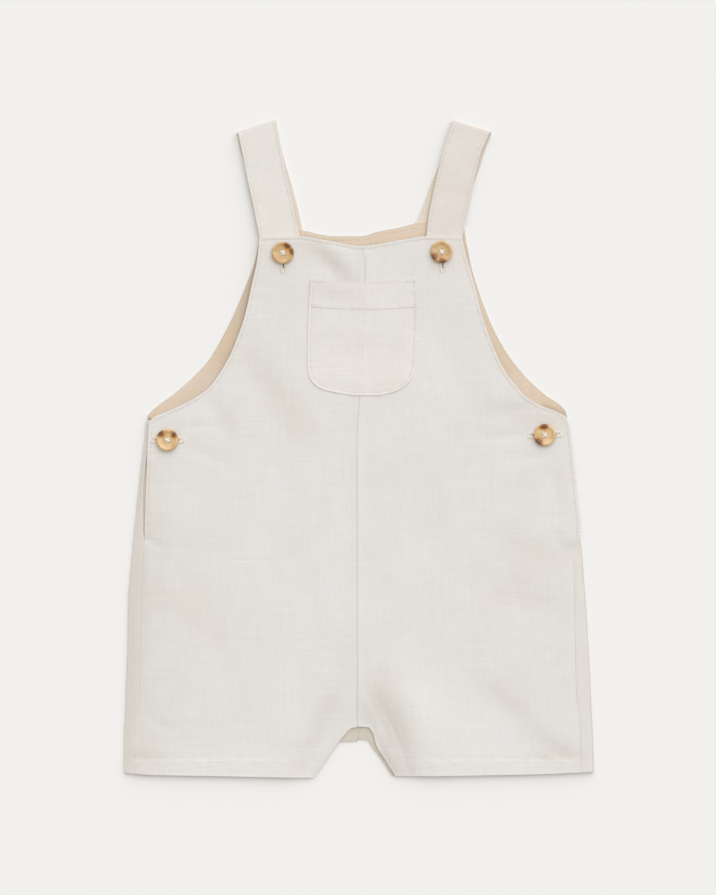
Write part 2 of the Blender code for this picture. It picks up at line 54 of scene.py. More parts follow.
MM = 0.001
LINEN_WALL = 0.85
EDGE_ROUND = 0.22
SEAM_GAP = 0.08
FOLD_REACH = 0.9
LEFT_FOLD_DROP = 0.85
SIDE_LEFT_TOP = 2.6
SIDE_RIGHT_TOP = 2.8
SIDE_RIGHT_RISE = 1.2
SIDE_ROLL = 0.04
NECK_Y = 146.0
NECK_EASE = 25.0
SLIT_TOP_Y = 19.5
SLIT_FOOT_Y = -62.0
HEM_Y = -222.0
HEM_DEPTH = 10.0
HEM_TURNING = 20.0
BACK_PITCH = 2.2


def table(columns, *rows):
    """Rows of numbers whose columns have names."""
    row_type = namedtuple("Row", columns)
    return [row_type(*row) for row in rows]


# The outline at each level y: x of the back's and the front's edges, on both sides.
LEVELS = table(
    "y back_left front_left front_right back_right",
    (144, -68.2, -67.7, 70.0, 71.4),
    (130, -70.6, -69.0, 73.1, 74.7),
    (110, -77.5, -73.2, 78.9, 80.6),
    (90, -85.9, -77.7, 83.8, 87.9),
    (75, -93.5, -83.0, 89.1, 94.9),
    (62, -101.1, -88.5, 94.5, 103.0),
    (50, -111.9, -95.7, 101.1, 112.6),
    (42, -120.7, -101.7, 107.5, 120.7),
    (36, -127.9, -109.6, 112.9, 127.9),
    (30, -136.3, -120.4, 122.5, 136.9),
    (25, -141.9, -131.6, 135.3, 141.0),
    (21, -144.4, -140.4, 141.2, 141.6),
    (18, -144.9, -142.7, 142.4, 141.8),
    (10, -145.5, -143.1, 143.8, 142.8),
    (-5, -147.4, -144.0, 145.7, 144.6),
    (-30, -150.1, -145.1, 148.0, 146.9),
    (-56, -152.7, -145.9, 150.5, 149.8),
    (-66, -153.7, -146.3, 148.2, 151.2),
    (-78, -154.8, -146.9, 146.0, 152.2),
    (-100, -156.6, -148.1, 146.3, 153.8),
    (-140, -157.4, -149.0, 147.1, 156.2),
    (-165, -158.3, -149.7, 147.7, 157.5),
    (-175, -158.6, -150.7, 148.8, 158.0),
    (-190, -159.4, -152.7, 150.3, 158.8),
    (-222, -159.9, -153.0, 150.3, 159.9),
)

# How far the back's cloth, once round the fold, reaches in under the front's edge. At zero the
# two meet, at the side seam.
LAPS = table(
    "y left right",
    (19.5, 1.4, 5.4),
    (10, 1.3, 5.8),
    (-5, -0.3, 5.8),
    (-30, -1.8, 5.6),
    (-56, -0.8, 4.8),
    (-62, 0.0, 3.5),
    (-66, 0.0, 2.4),
    (-72, 0.0, 1.0),
    (-78, 0.0, 0.0),
    (-222, 0.0, 0.0),
)
CENTRE = table(
    "y x",
    (138, 2.4),
    (125, 4.3),
    (110, 3.6),
    (77, 2.4),
    (36, 0.4),
    (2, -1.6),
    (-80, -1.3),
    (-189, -1.2),
)
BACK_LEFT_LEG = table(
    "y x",
    (-198.8, -1.9),
    (-199.6, -14.2),
    (-204.0, -17.6),
    (-212.0, -23.8),
    (-222.0, -31.8),
)
BACK_RIGHT_LEG = table(
    "y x",
    (-197.6, -1.5),
    (-198.3, 6.1),
    (-202.8, 8.9),
    (-208.0, 12.9),
    (-213.5, 16.8),
    (-222.0, 22.4),
)
NECKLINE = table(
    "x y",
    (-68, 145.4),
    (-52, 147.6),
    (-38, 148.6),
    (-27, 146.2),
    (-16, 144.8),
    (1, 144.8),
    (14, 148.2),
    (27, 150.6),
    (39, 153.3),
    (71, 153.4),
)
HEM = table(
    "x y",
    (-160, -220.4),
    (-140, -221.7),
    (-100, -222.4),
    (-60, -223.2),
    (-32, -223.7),
    (24, -222.5),
    (60, -222.3),
    (100, -221.6),
    (125, -221.1),
    (160, -219.6),
)
# Painted shade, darker and warmer, or painted light (below zero), in soft bands over the cloth:
# three points along each place, how much, and how wide it is to each side.
PAINTED_SHADE_CURVES = table(
    "x1 y1 x2 y2 x3 y3 height width",
    (-39, 141, -22, 130, -4, 114, 1.0, 6.5),
    (-76, 74, -57, 40, -38, 4, 0.5, 11.0),
    (-90, 36, -87, 24, -85, 8, 0.3, 6.5),
    (-152, -48, -122, -62, -88, -68, 0.25, 10.0),
    (-150, -78, -122, -100, -84, -122, 0.4, 15.0),
    (-151, -30, -155, -130, -158, -240, 0.75, 16.0),
    (-134, -140, -130, -170, -124, -204, 0.25, 16.0),
    (-150, -182, -136, -190, -112, -194, 0.15, 8.0),
    (-14, -160, -26, -184, -50, -236, 0.5, 8.0),
    (-8, -194, -20, -208, -34, -226, 0.5, 4.0),
    (9, -158, 20, -186, 42, -240, 1.05, 8.5),
    (12, -200, 20, -214, 34, -236, 1.0, 6.5),
    (152, -84, 125, -88, 92, -80, 0.25, 20.0),
    (154, -62, 125, -68, 88, -56, 0.25, 10.0),
    (156, -106, 130, -106, 98, -96, 0.25, 10.0),
    (80, 29, 108, 24, 138, 15, 0.65, 8.0),
    (86, -156, 106, -174, 126, -188, 0.3, 9.0),
    (112, -192, 133, -200, 152, -206, 0.5, 7.0),
    (118, -207, 134, -208, 150, -208, 0.6, 4.5),
    (-156, -208, -142, -208, -128, -209, 0.6, 4.5),
    (30, -148, 62, -180, 100, -212, -0.35, 15.0),
    (50, 72, 53, 50, 55, 28, -0.15, 15.0),
    (-56, -150, -48, -175, -40, -196, -0.2, 10.0),
)
# How far each end of such a curve has faded, and how much painted shade lies on lit rims and
# beside the left side opening, beyond the part of the back that lies flat. Painted light lightens
# the hems: at their very edge, and over the whole depth that is turned up.
CURVE_END = 0.12
RIM_PAINTED_SHADE = 2.0
SLIT_PAINTED_SHADE = 0.6
SLIT_HALF = 45.0
FLAT_HALF = 120.0
HEM_EDGE_PAINTED_LIGHT = 0.4
HEM_PAINTED_LIGHT = 0.12
PAINTED_LIGHT_SIDES = (150, 110)


def rise(value, start, full):
    """0 at start and before it, 1 at full and past it, with a smooth step between them."""
    share = np.clip((value - start) / (full - start), 0, 1)
    return share * share * (3 - 2 * share)


def hump(value, middle, width):
    """1 at the middle, falling away smoothly to each side."""
    return np.exp(-(((value - middle) / width) ** 2))


def smooth_curve(at, value):
    """A smooth curve through these values, with no overshoot."""
    at, value = np.array(at, float), np.array(value, float)
    slope = np.diff(value) / np.diff(at)
    product = slope[:-1] * slope[1:]
    total = slope[:-1] + slope[1:]
    inner = np.where(product > 0, 2 * product / np.where(total == 0, 1, total), 0)
    tangent = np.concatenate([slope[:1], inner, slope[-1:]])

    def curve(where):
        k = np.clip(np.searchsorted(at, where) - 1, 0, len(at) - 2)
        width = at[k + 1] - at[k]
        t = np.clip((where - at[k]) / width, 0, 1)
        start = value[k] * (1 + 2 * t) * (1 - t) ** 2 + tangent[k] * width * t * (1 - t) ** 2
        end = value[k + 1] * t * t * (3 - 2 * t) - tangent[k + 1] * width * t * t * (1 - t)
        return start + end

    return curve


def through(rows, across, along):
    """A smooth curve through one column of a table against another."""
    points = sorted((getattr(row, across), getattr(row, along)) for row in rows)
    return smooth_curve(*zip(*points))


def heights(bottom, top, marks, step):
    """Heights from bottom to top that pass every mark between, about a step apart."""
    stops = sorted({bottom, top, *(m for m in marks if bottom < m < top)})
    found = [bottom]
    for below, above in zip(stops, stops[1:]):
        parts = max(1, math.ceil((above - below) / step - 0.2))
        found += [below + (above - below) * (k + 1) / parts for k in range(parts)]
    return np.array(found)


def spread(column, columns, near, far, width, near_scale=1, far_scale=1):
    """How far from its first edge each column of a sheet of this width lies: at the near steps
    from that edge, at the far steps from the other one, and evenly between."""
    near, far = np.array(near), np.array(far)
    first, last = len(near) - 1, len(far) - 1
    start, end = near[-1] * near_scale, width - far[-1] * far_scale
    out = start + (end - start) * (column - first) / (columns - first - last)
    out = np.where(column < first, near[np.clip(column, 0, first)] * near_scale, out)
    at_end = width - far[np.clip(columns - column, 0, last)] * far_scale
    return np.where(columns - column < last, at_end, out)


back_left, front_left, front_right, back_right = (
    through(LEVELS, "y", edge) for edge in ("back_left", "front_left", "front_right", "back_right")
)
lap_left, lap_right = through(LAPS, "y", "left"), through(LAPS, "y", "right")
centre = through(CENTRE, "y", "x")
neckline = through(NECKLINE, "x", "y")
hem = through(HEM, "x", "y")


def fold_section(turn):
    """The section of cloth that is folded flat, from its upper side (0) to its lower side (1):
    how far out it is and how far up, both as shares of its reach."""
    angle = math.pi * turn
    return np.sqrt(np.sin(angle)), np.sign(np.cos(angle)) * np.sqrt(np.abs(np.cos(angle)))


def side_top(side, y):
    """How high the back's cloth lies at the side seam, once round the fold."""
    if side < 0:
        return SIDE_LEFT_TOP + 0 * y
    raised = rise(y, SLIT_FOOT_Y - 5, SLIT_FOOT_Y - 55) * rise(y, HEM_Y, HEM_Y + 110)
    return SIDE_RIGHT_TOP + SIDE_RIGHT_RISE * raised


def nearest(x, y, line_x, line_y):
    """How far places are from a line, and how far along it they are, from 0 to 1."""
    best, along = np.full(np.shape(x), np.inf), np.zeros(np.shape(x))
    last = len(line_x) - 1
    for k in range(last):
        dx, dy = line_x[k + 1] - line_x[k], line_y[k + 1] - line_y[k]
        length = max(dx * dx + dy * dy, 1e-12)
        t = np.clip(((x - line_x[k]) * dx + (y - line_y[k]) * dy) / length, 0, 1)
        away = np.hypot(line_x[k] + t * dx - x, line_y[k] + t * dy - y)
        along = np.where(away < best, (k + t) / last, along)
        best = np.minimum(away, best)
    return best, along


def along_curves(rows, x, y):
    """The sum of soft humps along curves, each with its own height and width."""
    total = np.zeros(np.shape(x))
    t = np.linspace(0, 1, 13)
    for row in rows:
        # The curve passes its middle point halfway along.
        handle_x = 2 * row.x2 - (row.x1 + row.x3) / 2
        handle_y = 2 * row.y2 - (row.y1 + row.y3) / 2
        line_x = row.x1 * (1 - t) ** 2 + 2 * handle_x * t * (1 - t) + row.x3 * t * t
        line_y = row.y1 * (1 - t) ** 2 + 2 * handle_y * t * (1 - t) + row.y3 * t * t
        away, along = nearest(x, y, line_x, line_y)
        ends = np.sin(math.pi * (CURVE_END + (1 - 2 * CURVE_END) * along))
        total += row.height * ends * hump(away, 0, row.width)
    return total


def curve_painted_shade(x, y):
    """Painted shade, darker and warmer, and painted light below zero, as the table of curves lists
    it. Painted light also lightens the edge of the hem and its turned depth, though not at the side
    folds."""
    above = y - hem(x)
    painted_light = HEM_PAINTED_LIGHT * rise(above, HEM_TURNING + 1, HEM_TURNING) + HEM_EDGE_PAINTED_LIGHT * rise(above, 1.8, 0.3)
    return along_curves(PAINTED_SHADE_CURVES, x, y) - painted_light * rise(np.abs(x), *PAINTED_LIGHT_SIDES)


def hem_shift(x, y):
    """Moves the lowest rows of a panel onto the hem's own line."""
    return (hem(x) - HEM_Y) * rise(y, HEM_Y + 2 * HEM_DEPTH, HEM_Y)


def ripple(x, y, seed, length, height, waves=14):
    """The soft unevenness of cloth: crossed waves of about this length and height."""
    chance = np.random.default_rng(seed)
    total = np.zeros(np.shape(x))
    for _ in range(waves):
        angle = chance.uniform(0, math.pi)
        size = length * chance.uniform(0.7, 1.5)
        phase = chance.uniform(0, 2 * math.pi)
        along = x * math.cos(angle) + y * math.sin(angle)
        total += np.sin(2 * math.pi * along / size + phase)
    return height * total / math.sqrt(waves / 2)


def as_mesh(shape, name, *finishes):
    """A finished shape as a mesh with these materials."""
    data = bpy.data.meshes.new(name)
    shape.to_mesh(data)
    shape.free()
    data.shade_smooth()
    for finish in finishes:
        data.materials.append(finish)
    return data


def new_piece(name, data, slot, nodes=()):
    """An object for a finished mesh, which rides with the garment and stands for its solids."""
    made = bpy.data.objects.new(name, data)
    bpy.context.scene.collection.objects.link(made)
    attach(made, "root")
    if nodes:
        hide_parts(*nodes)
    return made


def cloth(name, columns, rows, place, wall, finishes, slot, node, dropped=None):
    """A sheet of cloth: a grid whose points are set by place(column, row), which gives its
    outside in millimetres, with the wall on its inner side. finishes are the materials of the
    outside and, if there is a second, of the inside. Faces that dropped(column, row) names
    are left out. A fourth value from place is painted shade (painted light below zero), kept
    in a point attribute that the material reads."""
    grid = bmesh.new()
    bmesh.ops.create_grid(grid, x_segments=columns, y_segments=rows, size=0.5)
    if dropped:
        middles = [(face, face.calc_center_median()) for face in grid.faces]
        gone = [f for f, c in middles if dropped((c.x + 0.5) * columns, (c.y + 0.5) * rows)]
        bmesh.ops.delete(grid, geom=gone, context="FACES")
    data = as_mesh(grid, name, *finishes)
    spots = np.empty(3 * len(data.vertices), np.float32)
    data.vertices.foreach_get("co", spots)
    spots = spots.reshape(-1, 3)
    column = np.rint((spots[:, 0] + 0.5) * columns).astype(int)
    row = np.rint((spots[:, 1] + 0.5) * rows).astype(int)
    *spot, painted_shading = (*place(column, row), 0.0)[:4]
    points = np.column_stack(spot) * MM
    data.vertices.foreach_set("co", points.astype(np.float32).ravel())
    data.update()
    shading_layer = data.attributes.new("painted_shading", "FLOAT", "POINT")
    shading_layer.data.foreach_set("value", (painted_shading + np.zeros(len(points))).astype(np.float32))
    made = new_piece(name, data, slot, [node])
    solid = made.modifiers.new("wall", "SOLIDIFY")
    solid.thickness = wall * MM
    solid.offset = -1
    solid.use_quality_normals = True
    solid.material_offset = len(finishes) - 1
    edge = made.modifiers.new("soft_edge", "BEVEL")
    edge.width = EDGE_ROUND * MM
    edge.segments = 2
    edge.profile = 0.5
    edge.limit_method = "ANGLE"
    edge.angle_limit = math.radians(65)
    return made


class Value:
    """A value in a material's nodes. Arithmetic on it adds Math nodes."""

    def __init__(self, tree, socket=None):
        self.tree = tree
        self.socket = socket

    def node(self, kind, settings, values, output=0):
        """A new node: its settings, then the values or links of its sockets."""
        made = self.tree.nodes.new(kind)
        for name, setting in settings.items():
            setattr(made, name, setting)
        for name, value in values.items():
            if isinstance(value, Value):
                self.tree.links.new(value.socket, made.inputs[name])
            else:
                made.inputs[name].default_value = value
        return Value(self.tree, made.outputs[output])

    def math(self, operation, *values):
        """A Math node on these values."""
        return self.node("ShaderNodeMath", {"operation": operation}, dict(enumerate(values)))

    def __add__(self, other):
        return self.math("ADD", self, other)

    def __sub__(self, other):
        return self.math("SUBTRACT", self, other)

    def __rsub__(self, other):
        return self.math("SUBTRACT", other, self)

    def __mul__(self, other):
        return self.math("MULTIPLY", self, other)

    __radd__ = __add__
    __rmul__ = __mul__

    def turned(self, angle):
        """These coordinates turned about Z."""
        return self.node("ShaderNodeMapping", {}, {"Vector": self, "Rotation": (0, 0, angle)})

    def stretched(self, x, y, z):
        """These coordinates scaled, so that a pattern is as fine along each as is asked."""
        return self.node("ShaderNodeMapping", {}, {"Vector": self, "Scale": (x, y, z)})

    def noise(self, scale, detail=2.0, roughness=0.5):
        """Smooth noise at these coordinates, from 0 to 1."""
        values = {"Vector": self, "Scale": scale, "Detail": detail, "Roughness": roughness}
        return self.node("ShaderNodeTexNoise", {}, values)

    def bands(self, scale, direction, shift):
        """A sine along one axis of these coordinates, from 0 to 1, moved by a shift."""
        settings = {"wave_type": "BANDS", "bands_direction": direction, "wave_profile": "SIN"}
        values = {"Vector": self, "Scale": scale, "Distortion": 0.0, "Phase Offset": shift}
        return self.node("ShaderNodeTexWave", settings, values)

    def ease(self, start, full):
        """A smooth step of this value, from 0 at start to 1 at full."""
        values = {"Value": self, "From Min": start, "From Max": full}
        return self.node("ShaderNodeMapRange", {"interpolation_type": "SMOOTHSTEP"}, values)

    def mixed(self, first, second):
        """A colour between two, by this value."""
        values = {0: self, 6: first, 7: second}
        return self.node("ShaderNodeMix", {"data_type": "RGBA"}, values, output=2)

    def tinted(self, colour):
        """A colour made lighter or darker by this value."""
        settings = {"data_type": "RGBA", "blend_type": "MULTIPLY"}
        return self.node("ShaderNodeMix", settings, {0: 1.0, 6: colour, 7: self}, output=2)

    def relief(self, strength, depth):
        """A normal that is tilted by this height."""
        values = {"Height": self, "Strength": strength, "Distance": depth * MM}
        return self.node("ShaderNodeBump", {}, values)


def linear(red, green, blue):
    """A colour as a screen shows it, from 0 to 255, as the light that it stands for."""
    shares = [value / 255 for value in (red, green, blue)]
    return (*[((share + 0.055) / 1.055) ** 2.4 for share in shares], 1.0)


def material(name, **constants):
    """A new material: its object's coordinates, and a function that links its shader."""
    made = bpy.data.materials.new(name)
    made.use_nodes = True
    shader = made.node_tree.nodes["Principled BSDF"]
    for socket, value in constants.items():
        shader.inputs[socket.replace("_", " ")].default_value = value

    def finish(colour, normal=None):
        made.node_tree.links.new(colour.socket, shader.inputs["Base Color"])
        if normal:
            made.node_tree.links.new(normal.socket, shader.inputs["Normal"])
        return made

    place = Value(made.node_tree).node("ShaderNodeTexCoord", {}, {}, output=3)
    return place, finish


# A wave texture has one band in this many units at scale 1.
BAND = math.pi / 10
# What one unit of a cloth's painted shade takes from its lightness, and the warm tint of that
# painted shade.
PAINTED_SHADE_STEP = 0.12
PAINTED_SHADE_TINT = (1.02, 1.0, 0.957, 1)
# Keeps the mean of a weave's lights and darks at its tone.
WEAVE_LEVEL = 0.993


def woven(name, tone, warm_tone, turn=0.0, yarn=0.62, unevenness=1.0):
    """Plain-woven cloth: yarns of uneven thickness both ways, thick slubs here and there, and
    a tone that drifts between two colours. yarn is the pitch of the weave in millimetres.
    Painted shade from its piece's point attribute darkens it and tints it warm, and painted
    light lightens it."""
    place, finish = material(
        name, Roughness=0.92, Specular_IOR_Level=0.12, Sheen_Weight=0.1, Sheen_Roughness=0.5
    )
    # X crosses the warp, and Y crosses the weft.
    across = 1 / (yarn * MM)
    turned = place.turned(turn)
    warp = turned.stretched(0.9 * across, 38, 38).noise(1.0, 2.0, 0.6)
    weft = turned.stretched(33, 0.9 * across, 33).noise(1.0, 2.0, 0.6)
    warp_slub = turned.stretched(0.4 * across, 24, 24).noise(1.0, 1.0).ease(0.62, 0.76)
    weft_slub = turned.stretched(21, 0.36 * across, 21).noise(1.0, 1.0).ease(0.60, 0.74)
    over = turned.bands(BAND * across, "X", warp * 5.0)
    under = turned.bands(BAND * across, "Y", weft * 5.0)
    weave = over * under + (1 - over) * (1 - under)
    mottle = place.turned(turn + 0.6).stretched(420, 190, 250).noise(1.0, 2.0, 0.6)
    drift = place.noise(24.0, 3.0, 0.55).ease(0.34, 0.66)
    painted_shading = place.node("ShaderNodeAttribute", {"attribute_name": "painted_shading"}, {}, output=2)
    yarns = (warp + weft - 1.0) * 0.5
    slubs = (warp_slub + weft_slub) * (0.02 * unevenness)
    shade = yarns * (0.2 * unevenness) + slubs + (weave - 0.5) * 0.05 + (mottle - 0.5) * 0.06
    # Painted shade and painted light from the mesh's attribute, with a warm tint for the shade.
    level = shade - painted_shading * PAINTED_SHADE_STEP + WEAVE_LEVEL
    level_tone = level.tinted(drift.mixed(linear(*tone), linear(*warm_tone)))
    settings = {"data_type": "RGBA", "blend_type": "MULTIPLY"}
    colour = painted_shading.node("ShaderNodeMix", settings, {0: painted_shading, 6: level_tone, 7: PAINTED_SHADE_TINT}, output=2)
    return finish(colour, (weave * 0.5 + yarns * 0.7).relief(0.4, 0.12))


linen_back = woven("linen_back", (228, 224, 219), (229, 223, 217))
# The back's inside: a darker, warmer copy of the linen, with the shade where it shows under the
# front painted in.
shaded_linen_inside = woven("shaded_linen_inside", (214, 207, 194), (210, 202, 188))


def turned_left(y):
    """Where the back's cloth ends on the left, once round the fold."""
    return front_left(y) + lap_left(y) - SEAM_GAP / 2


def turned_right(y):
    """Where the back's cloth ends on the right, once round the fold."""
    return front_right(y) - lap_right(y) + SEAM_GAP / 2


def back_painted_shade(x, y):
    """Painted shade on the back's cloth: the listed painted shade and the hems' painted light where
    it comes round to the front, a band beside the left side opening, and its lit rims on the right
    and round the neck."""
    # Painted shade: the listed curves on the turned cloth, a band beside the left opening, and lit
    # rims.
    wraps = (y < SLIT_FOOT_Y) * (np.abs(x) > FLAT_HALF)
    slit = SLIT_PAINTED_SHADE * (np.abs(y - (SLIT_FOOT_Y + SLIT_TOP_Y) / 2) < SLIT_HALF) * (x < -FLAT_HALF)
    right_rim = RIM_PAINTED_SHADE * rise(x, back_right(y) - 0.95, back_right(y) - 0.3) * (y < NECK_Y - 8)
    top_rim = 0.8 * RIM_PAINTED_SHADE * rise(y, neckline(x) - 1.6, neckline(x) - 0.4)
    return curve_painted_shade(x, y) * wraps + slit * (1 - wraps) + right_rim + top_rim


def back_half(name, node, side, edge, wrap, leg_rows):
    """Half of the back. side is -1 for left and 1 for right."""
    leg = through(leg_rows, "y", "x")
    leg_top = max(row.y for row in leg_rows)
    near_hem = [HEM_Y + step for step in (0.5, 1.1, HEM_DEPTH - 0.6, HEM_DEPTH, HEM_DEPTH + 0.6)]
    marks = [row.y for row in leg_rows] + near_hem + [SLIT_TOP_Y]
    marks += list(np.linspace(leg_rows[0].y, leg_rows[1].y, 7))
    levels = heights(HEM_Y, NECK_Y, marks, BACK_PITCH)
    flat, turns, run = 62, 12, 7
    columns = flat + turns + run
    wrap_row = int(np.abs(levels - SLIT_TOP_Y).argmin())

    def place(column, row):
        y = levels[row]
        column = columns - column if side > 0 else column
        middle = np.where(y < leg_top, leg(y), centre(y) + side * SEAM_GAP / 8)
        start = np.where(row > wrap_row, edge(y), edge(y) - side * FOLD_REACH)
        x = middle + (start - middle) * np.minimum(column, flat) / flat
        out, up = fold_section(1 - np.clip(column - flat, 0, turns) / turns)
        x = x + side * FOLD_REACH * out * (row <= wrap_row)
        over = np.clip((column - flat - turns) / run, 0, 1)
        x = x + (wrap(y) - x) * over
        turned = (1 + up) / 2 * (row <= wrap_row)
        drop = LEFT_FOLD_DROP * (side < 0) * (1 - over * (2 - over))
        z = (side_top(side, y) - drop) * turned
        on_top = rise(turned, 0.5, 1)
        # Its outside touches the surface here and there, with shallow hollows between.
        z = z + np.maximum(0, ripple(x, y, 3, 48, 0.12)) * (1 - on_top)
        rolled = SIDE_ROLL * (1 - rise(np.abs(wrap(y) - x), 0, 1.0))
        z = z + (ripple(x, y, 5, 24, 0.05) - rolled) * on_top
        y = y + (neckline(x) - NECK_Y) * rise(y, NECK_Y - NECK_EASE, NECK_Y)
        y = y + hem_shift(x, y)
        return x, y, np.maximum(z, 0), back_painted_shade(x, y)

    def dropped(column, row):
        column = columns - column if side > 0 else column
        return column > flat and row > wrap_row

    finishes = [linen_back, shaded_linen_inside]
    rows = len(levels) - 1
    made = cloth(name, columns, rows, place, LINEN_WALL, finishes, "linen", node, dropped)


back_half(
    "left_back", "back_panel_left", -1, back_left, turned_left, BACK_LEFT_LEG
)
back_half(
    "right_back", "back_panel_right", 1, back_right, turned_right, BACK_RIGHT_LEG
)

# ---------------------------------------------------------------- the facing
# A tan cotton facing on the inside of the back's bib, sewn to it round the neckline and the
# armholes. It shows above the front's edge and in both armholes.

FACING_TOP = 2.0
FACING_WALL = 0.8
FACING_INSET = 0.6
FACING_OVER_STRAP = 0.9
FACING_END_Y = 20.6
FACING_PITCH = 1.6
FACING_STEPS = (0, 0.5, 1.0, 1.6, 2.1, 2.6, 3.2)
FACING_DIP = 0.08
FACING_STITCH_INSET = 2.8
STRAP_SIDE = (36.5, 39.0)
# Painted shade along a line down the left armhole, where the front and the strap take its light,
# and how much more they take between two heights. A small corner of painted shade is at the foot
# of the right armhole.
FACING_SHADE = ((-66, -75, -86, -112, -144), (138, 103, 69, 37, 18))
SHADE_WIDTH = 6.0
SHADE_LEAST = 0.35
SHADE_STEPS = ((0.35, 45, 65), (1.15, 75, 102))
FACING_CORNER = ((140, 134, 126), (24, 26, 29))
CORNER_WIDTH = 2.2
CORNER_PAINTED_SHADE = 1.6

tan_cotton = woven("tan_cotton", (227, 209, 190), (222, 201, 177), yarn=0.45, unevenness=1.6)


def facing_top(x, y):
    """How high the upper side of the facing lies."""
    inside = np.minimum(np.minimum(x - back_left(y), back_right(y) - x), neckline(x) - y)
    dips = 2 - rise(inside, FACING_INSET, 1.5) + hump(inside, FACING_STITCH_INSET, 0.6)
    return FACING_TOP - FACING_DIP * dips + ripple(x, y, 11, 34, 0.06)


def facing():
    """The facing, out to just inside the back's own edge."""
    marks = [NECK_Y - step for step in FACING_STEPS]
    levels = heights(FACING_END_Y, NECK_Y, marks, FACING_PITCH)
    columns = 176

    def place(column, row):
        y = levels[row]
        left, right = back_left(y) + FACING_INSET, back_right(y) - FACING_INSET
        x = left + spread(column, columns, FACING_STEPS, FACING_STEPS, right - left)
        # It reaches a little over the ends of the straps, and stops short of the edge elsewhere.
        on_strap = rise(np.abs(x), *STRAP_SIDE)
        top = neckline(x) - FACING_INSET + (FACING_INSET + FACING_OVER_STRAP) * on_strap
        y = y + (top - NECK_Y) * rise(y, NECK_Y - NECK_EASE, NECK_Y)
        inside = np.minimum(back_right(y) - x, neckline(x) - y)
        # Painted shade down the left armhole, in the right armhole's corner, and on the facing's lit
        # rims.
        depth = SHADE_LEAST + sum(more * rise(y, low, high) for more, low, high in SHADE_STEPS)
        shaded = depth * hump(nearest(x, y, *FACING_SHADE)[0], 0, SHADE_WIDTH)
        corner = CORNER_PAINTED_SHADE * hump(nearest(x, y, *FACING_CORNER)[0], 0, CORNER_WIDTH)
        rim = 0.2 * RIM_PAINTED_SHADE * (1 - rise(inside, 0.7, 1.8))
        return x, y, facing_top(x, y), rim + shaded + corner

    sizes = (columns, len(levels) - 1, place, FACING_WALL)
    made = cloth("neck_facing", *sizes, [tan_cotton], "facing", "back_facing")


facing()

# ---------------------------------------------------------------- the button stands
# A linen stand along each side opening, sewn inside the back's turned edge and lying under the
# edge of the front. The left one shows as a dark sliver where the opening gapes, and its linen is
# a darker copy, with that shade painted in.

PLACKET_WIDTH = 23.0
PLACKET_INSET = 1.9
PLACKET_TOP = 1.75

# A darker copy of the linen, with the shade in the left opening painted in.
shaded_linen_stand = woven("shaded_linen_stand", (214, 204, 190), (210, 198, 182))


def button_stand(name, node, side, edge, front_edge):
    """The stand of one side opening."""
    levels = heights(SLIT_FOOT_Y - 5.0, SLIT_TOP_Y - 0.6, [], 2.5)
    columns = 14

    def place(column, row):
        y = levels[row]
        outer = edge(y) - side * PLACKET_INSET
        inner = front_edge(y) - side * PLACKET_WIDTH
        low, high = np.minimum(outer, inner), np.maximum(outer, inner)
        x = low + (high - low) * column / columns
        return x, y, PLACKET_TOP + ripple(x, y, 13, 20, 0.04)

    made = cloth(name, columns, len(levels) - 1, place, LINEN_WALL, [shaded_linen_stand], "linen", node)


button_stand("left_stand", "side_placket_left", -1, back_left, front_left)
button_stand("right_stand", "side_placket_right", 1, back_right, front_right)

# ---------------------------------------------------------------- the straps
# A double strip of linen each, lined with a paler tan. It leaves the back behind the facing,
# turns over at the top, comes down to the front and ends behind the bib, where it is buttoned.

STRAP_WALL = 1.3
STRAP_REACH = 2.1
STRAP_TOP = 3.6
STRAP_END_Y = 117.0
STRAP_PITCH = 1.25
# How many parts it has down the front, round the fold and down the back.
STRAP_PARTS = (85, 14, 65)
STITCH_INSET = 2.0
EDGE_STEPS = (0, 0.45, 0.9, 1.3, 1.7, 2.1, 2.6, 3.2, 4.1)

LEFT_STRAP_FRONT = table(
    "left_x left_y right_x right_y",
    (-62.5, 117.0, -34.7, 117.5),
    (-67.7, 144.0, -40.3, 144.5),
    (-71.6, 164.2, -44.3, 164.2),
    (-75.9, 183.7, -48.6, 183.7),
    (-79.4, 201.6, -52.1, 201.0),
    (-82.0, 213.4, -56.6, 221.9),
)
LEFT_STRAP_BACK = table(
    "left_x left_y right_x right_y",
    (-82.6, 213.2, -56.2, 221.9),
    (-80.6, 202.0, -52.9, 205.0),
    (-77.4, 193.8, -50.0, 193.8),
    (-71.6, 174.4, -44.2, 174.4),
    (-66.3, 152.5, -39.2, 152.8),
    (-65.4, 146.7, -38.5, 149.3),
)
RIGHT_STRAP_FRONT = table(
    "left_x left_y right_x right_y",
    (42.6, 117.0, 67.2, 117.5),
    (45.8, 145.0, 70.8, 146.3),
    (47.4, 158.7, 72.8, 160.3),
    (50.5, 174.4, 75.6, 173.0),
    (54.0, 189.9, 79.9, 189.0),
    (57.5, 203.2, 83.0, 201.5),
    (63.3, 221.6, 88.5, 213.7),
)
RIGHT_STRAP_BACK = table(
    "left_x left_y right_x right_y",
    (63.7, 221.5, 89.6, 213.4),
    (58.5, 205.0, 86.0, 204.0),
    (53.4, 190.7, 81.7, 190.7),
    (50.5, 183.7, 79.2, 183.7),
    (45.0, 168.1, 73.0, 168.5),
    (39.4, 153.8, 66.5, 153.9),
)


def turned_edge(inside, x, y, inset=STITCH_INSET):
    """The relief of a turned and topstitched edge, by how far inside it a place is: fuller at
    the edge, drawn in and puckered along the stitches."""
    full = 0.1 * (1 - rise(inside, 0.6 * inset, inset)) - 0.06 * hump(inside, inset, 0.5)
    return full + ripple(x, y, 17, 6.5, 0.05) * hump(inside, inset, 1.8)


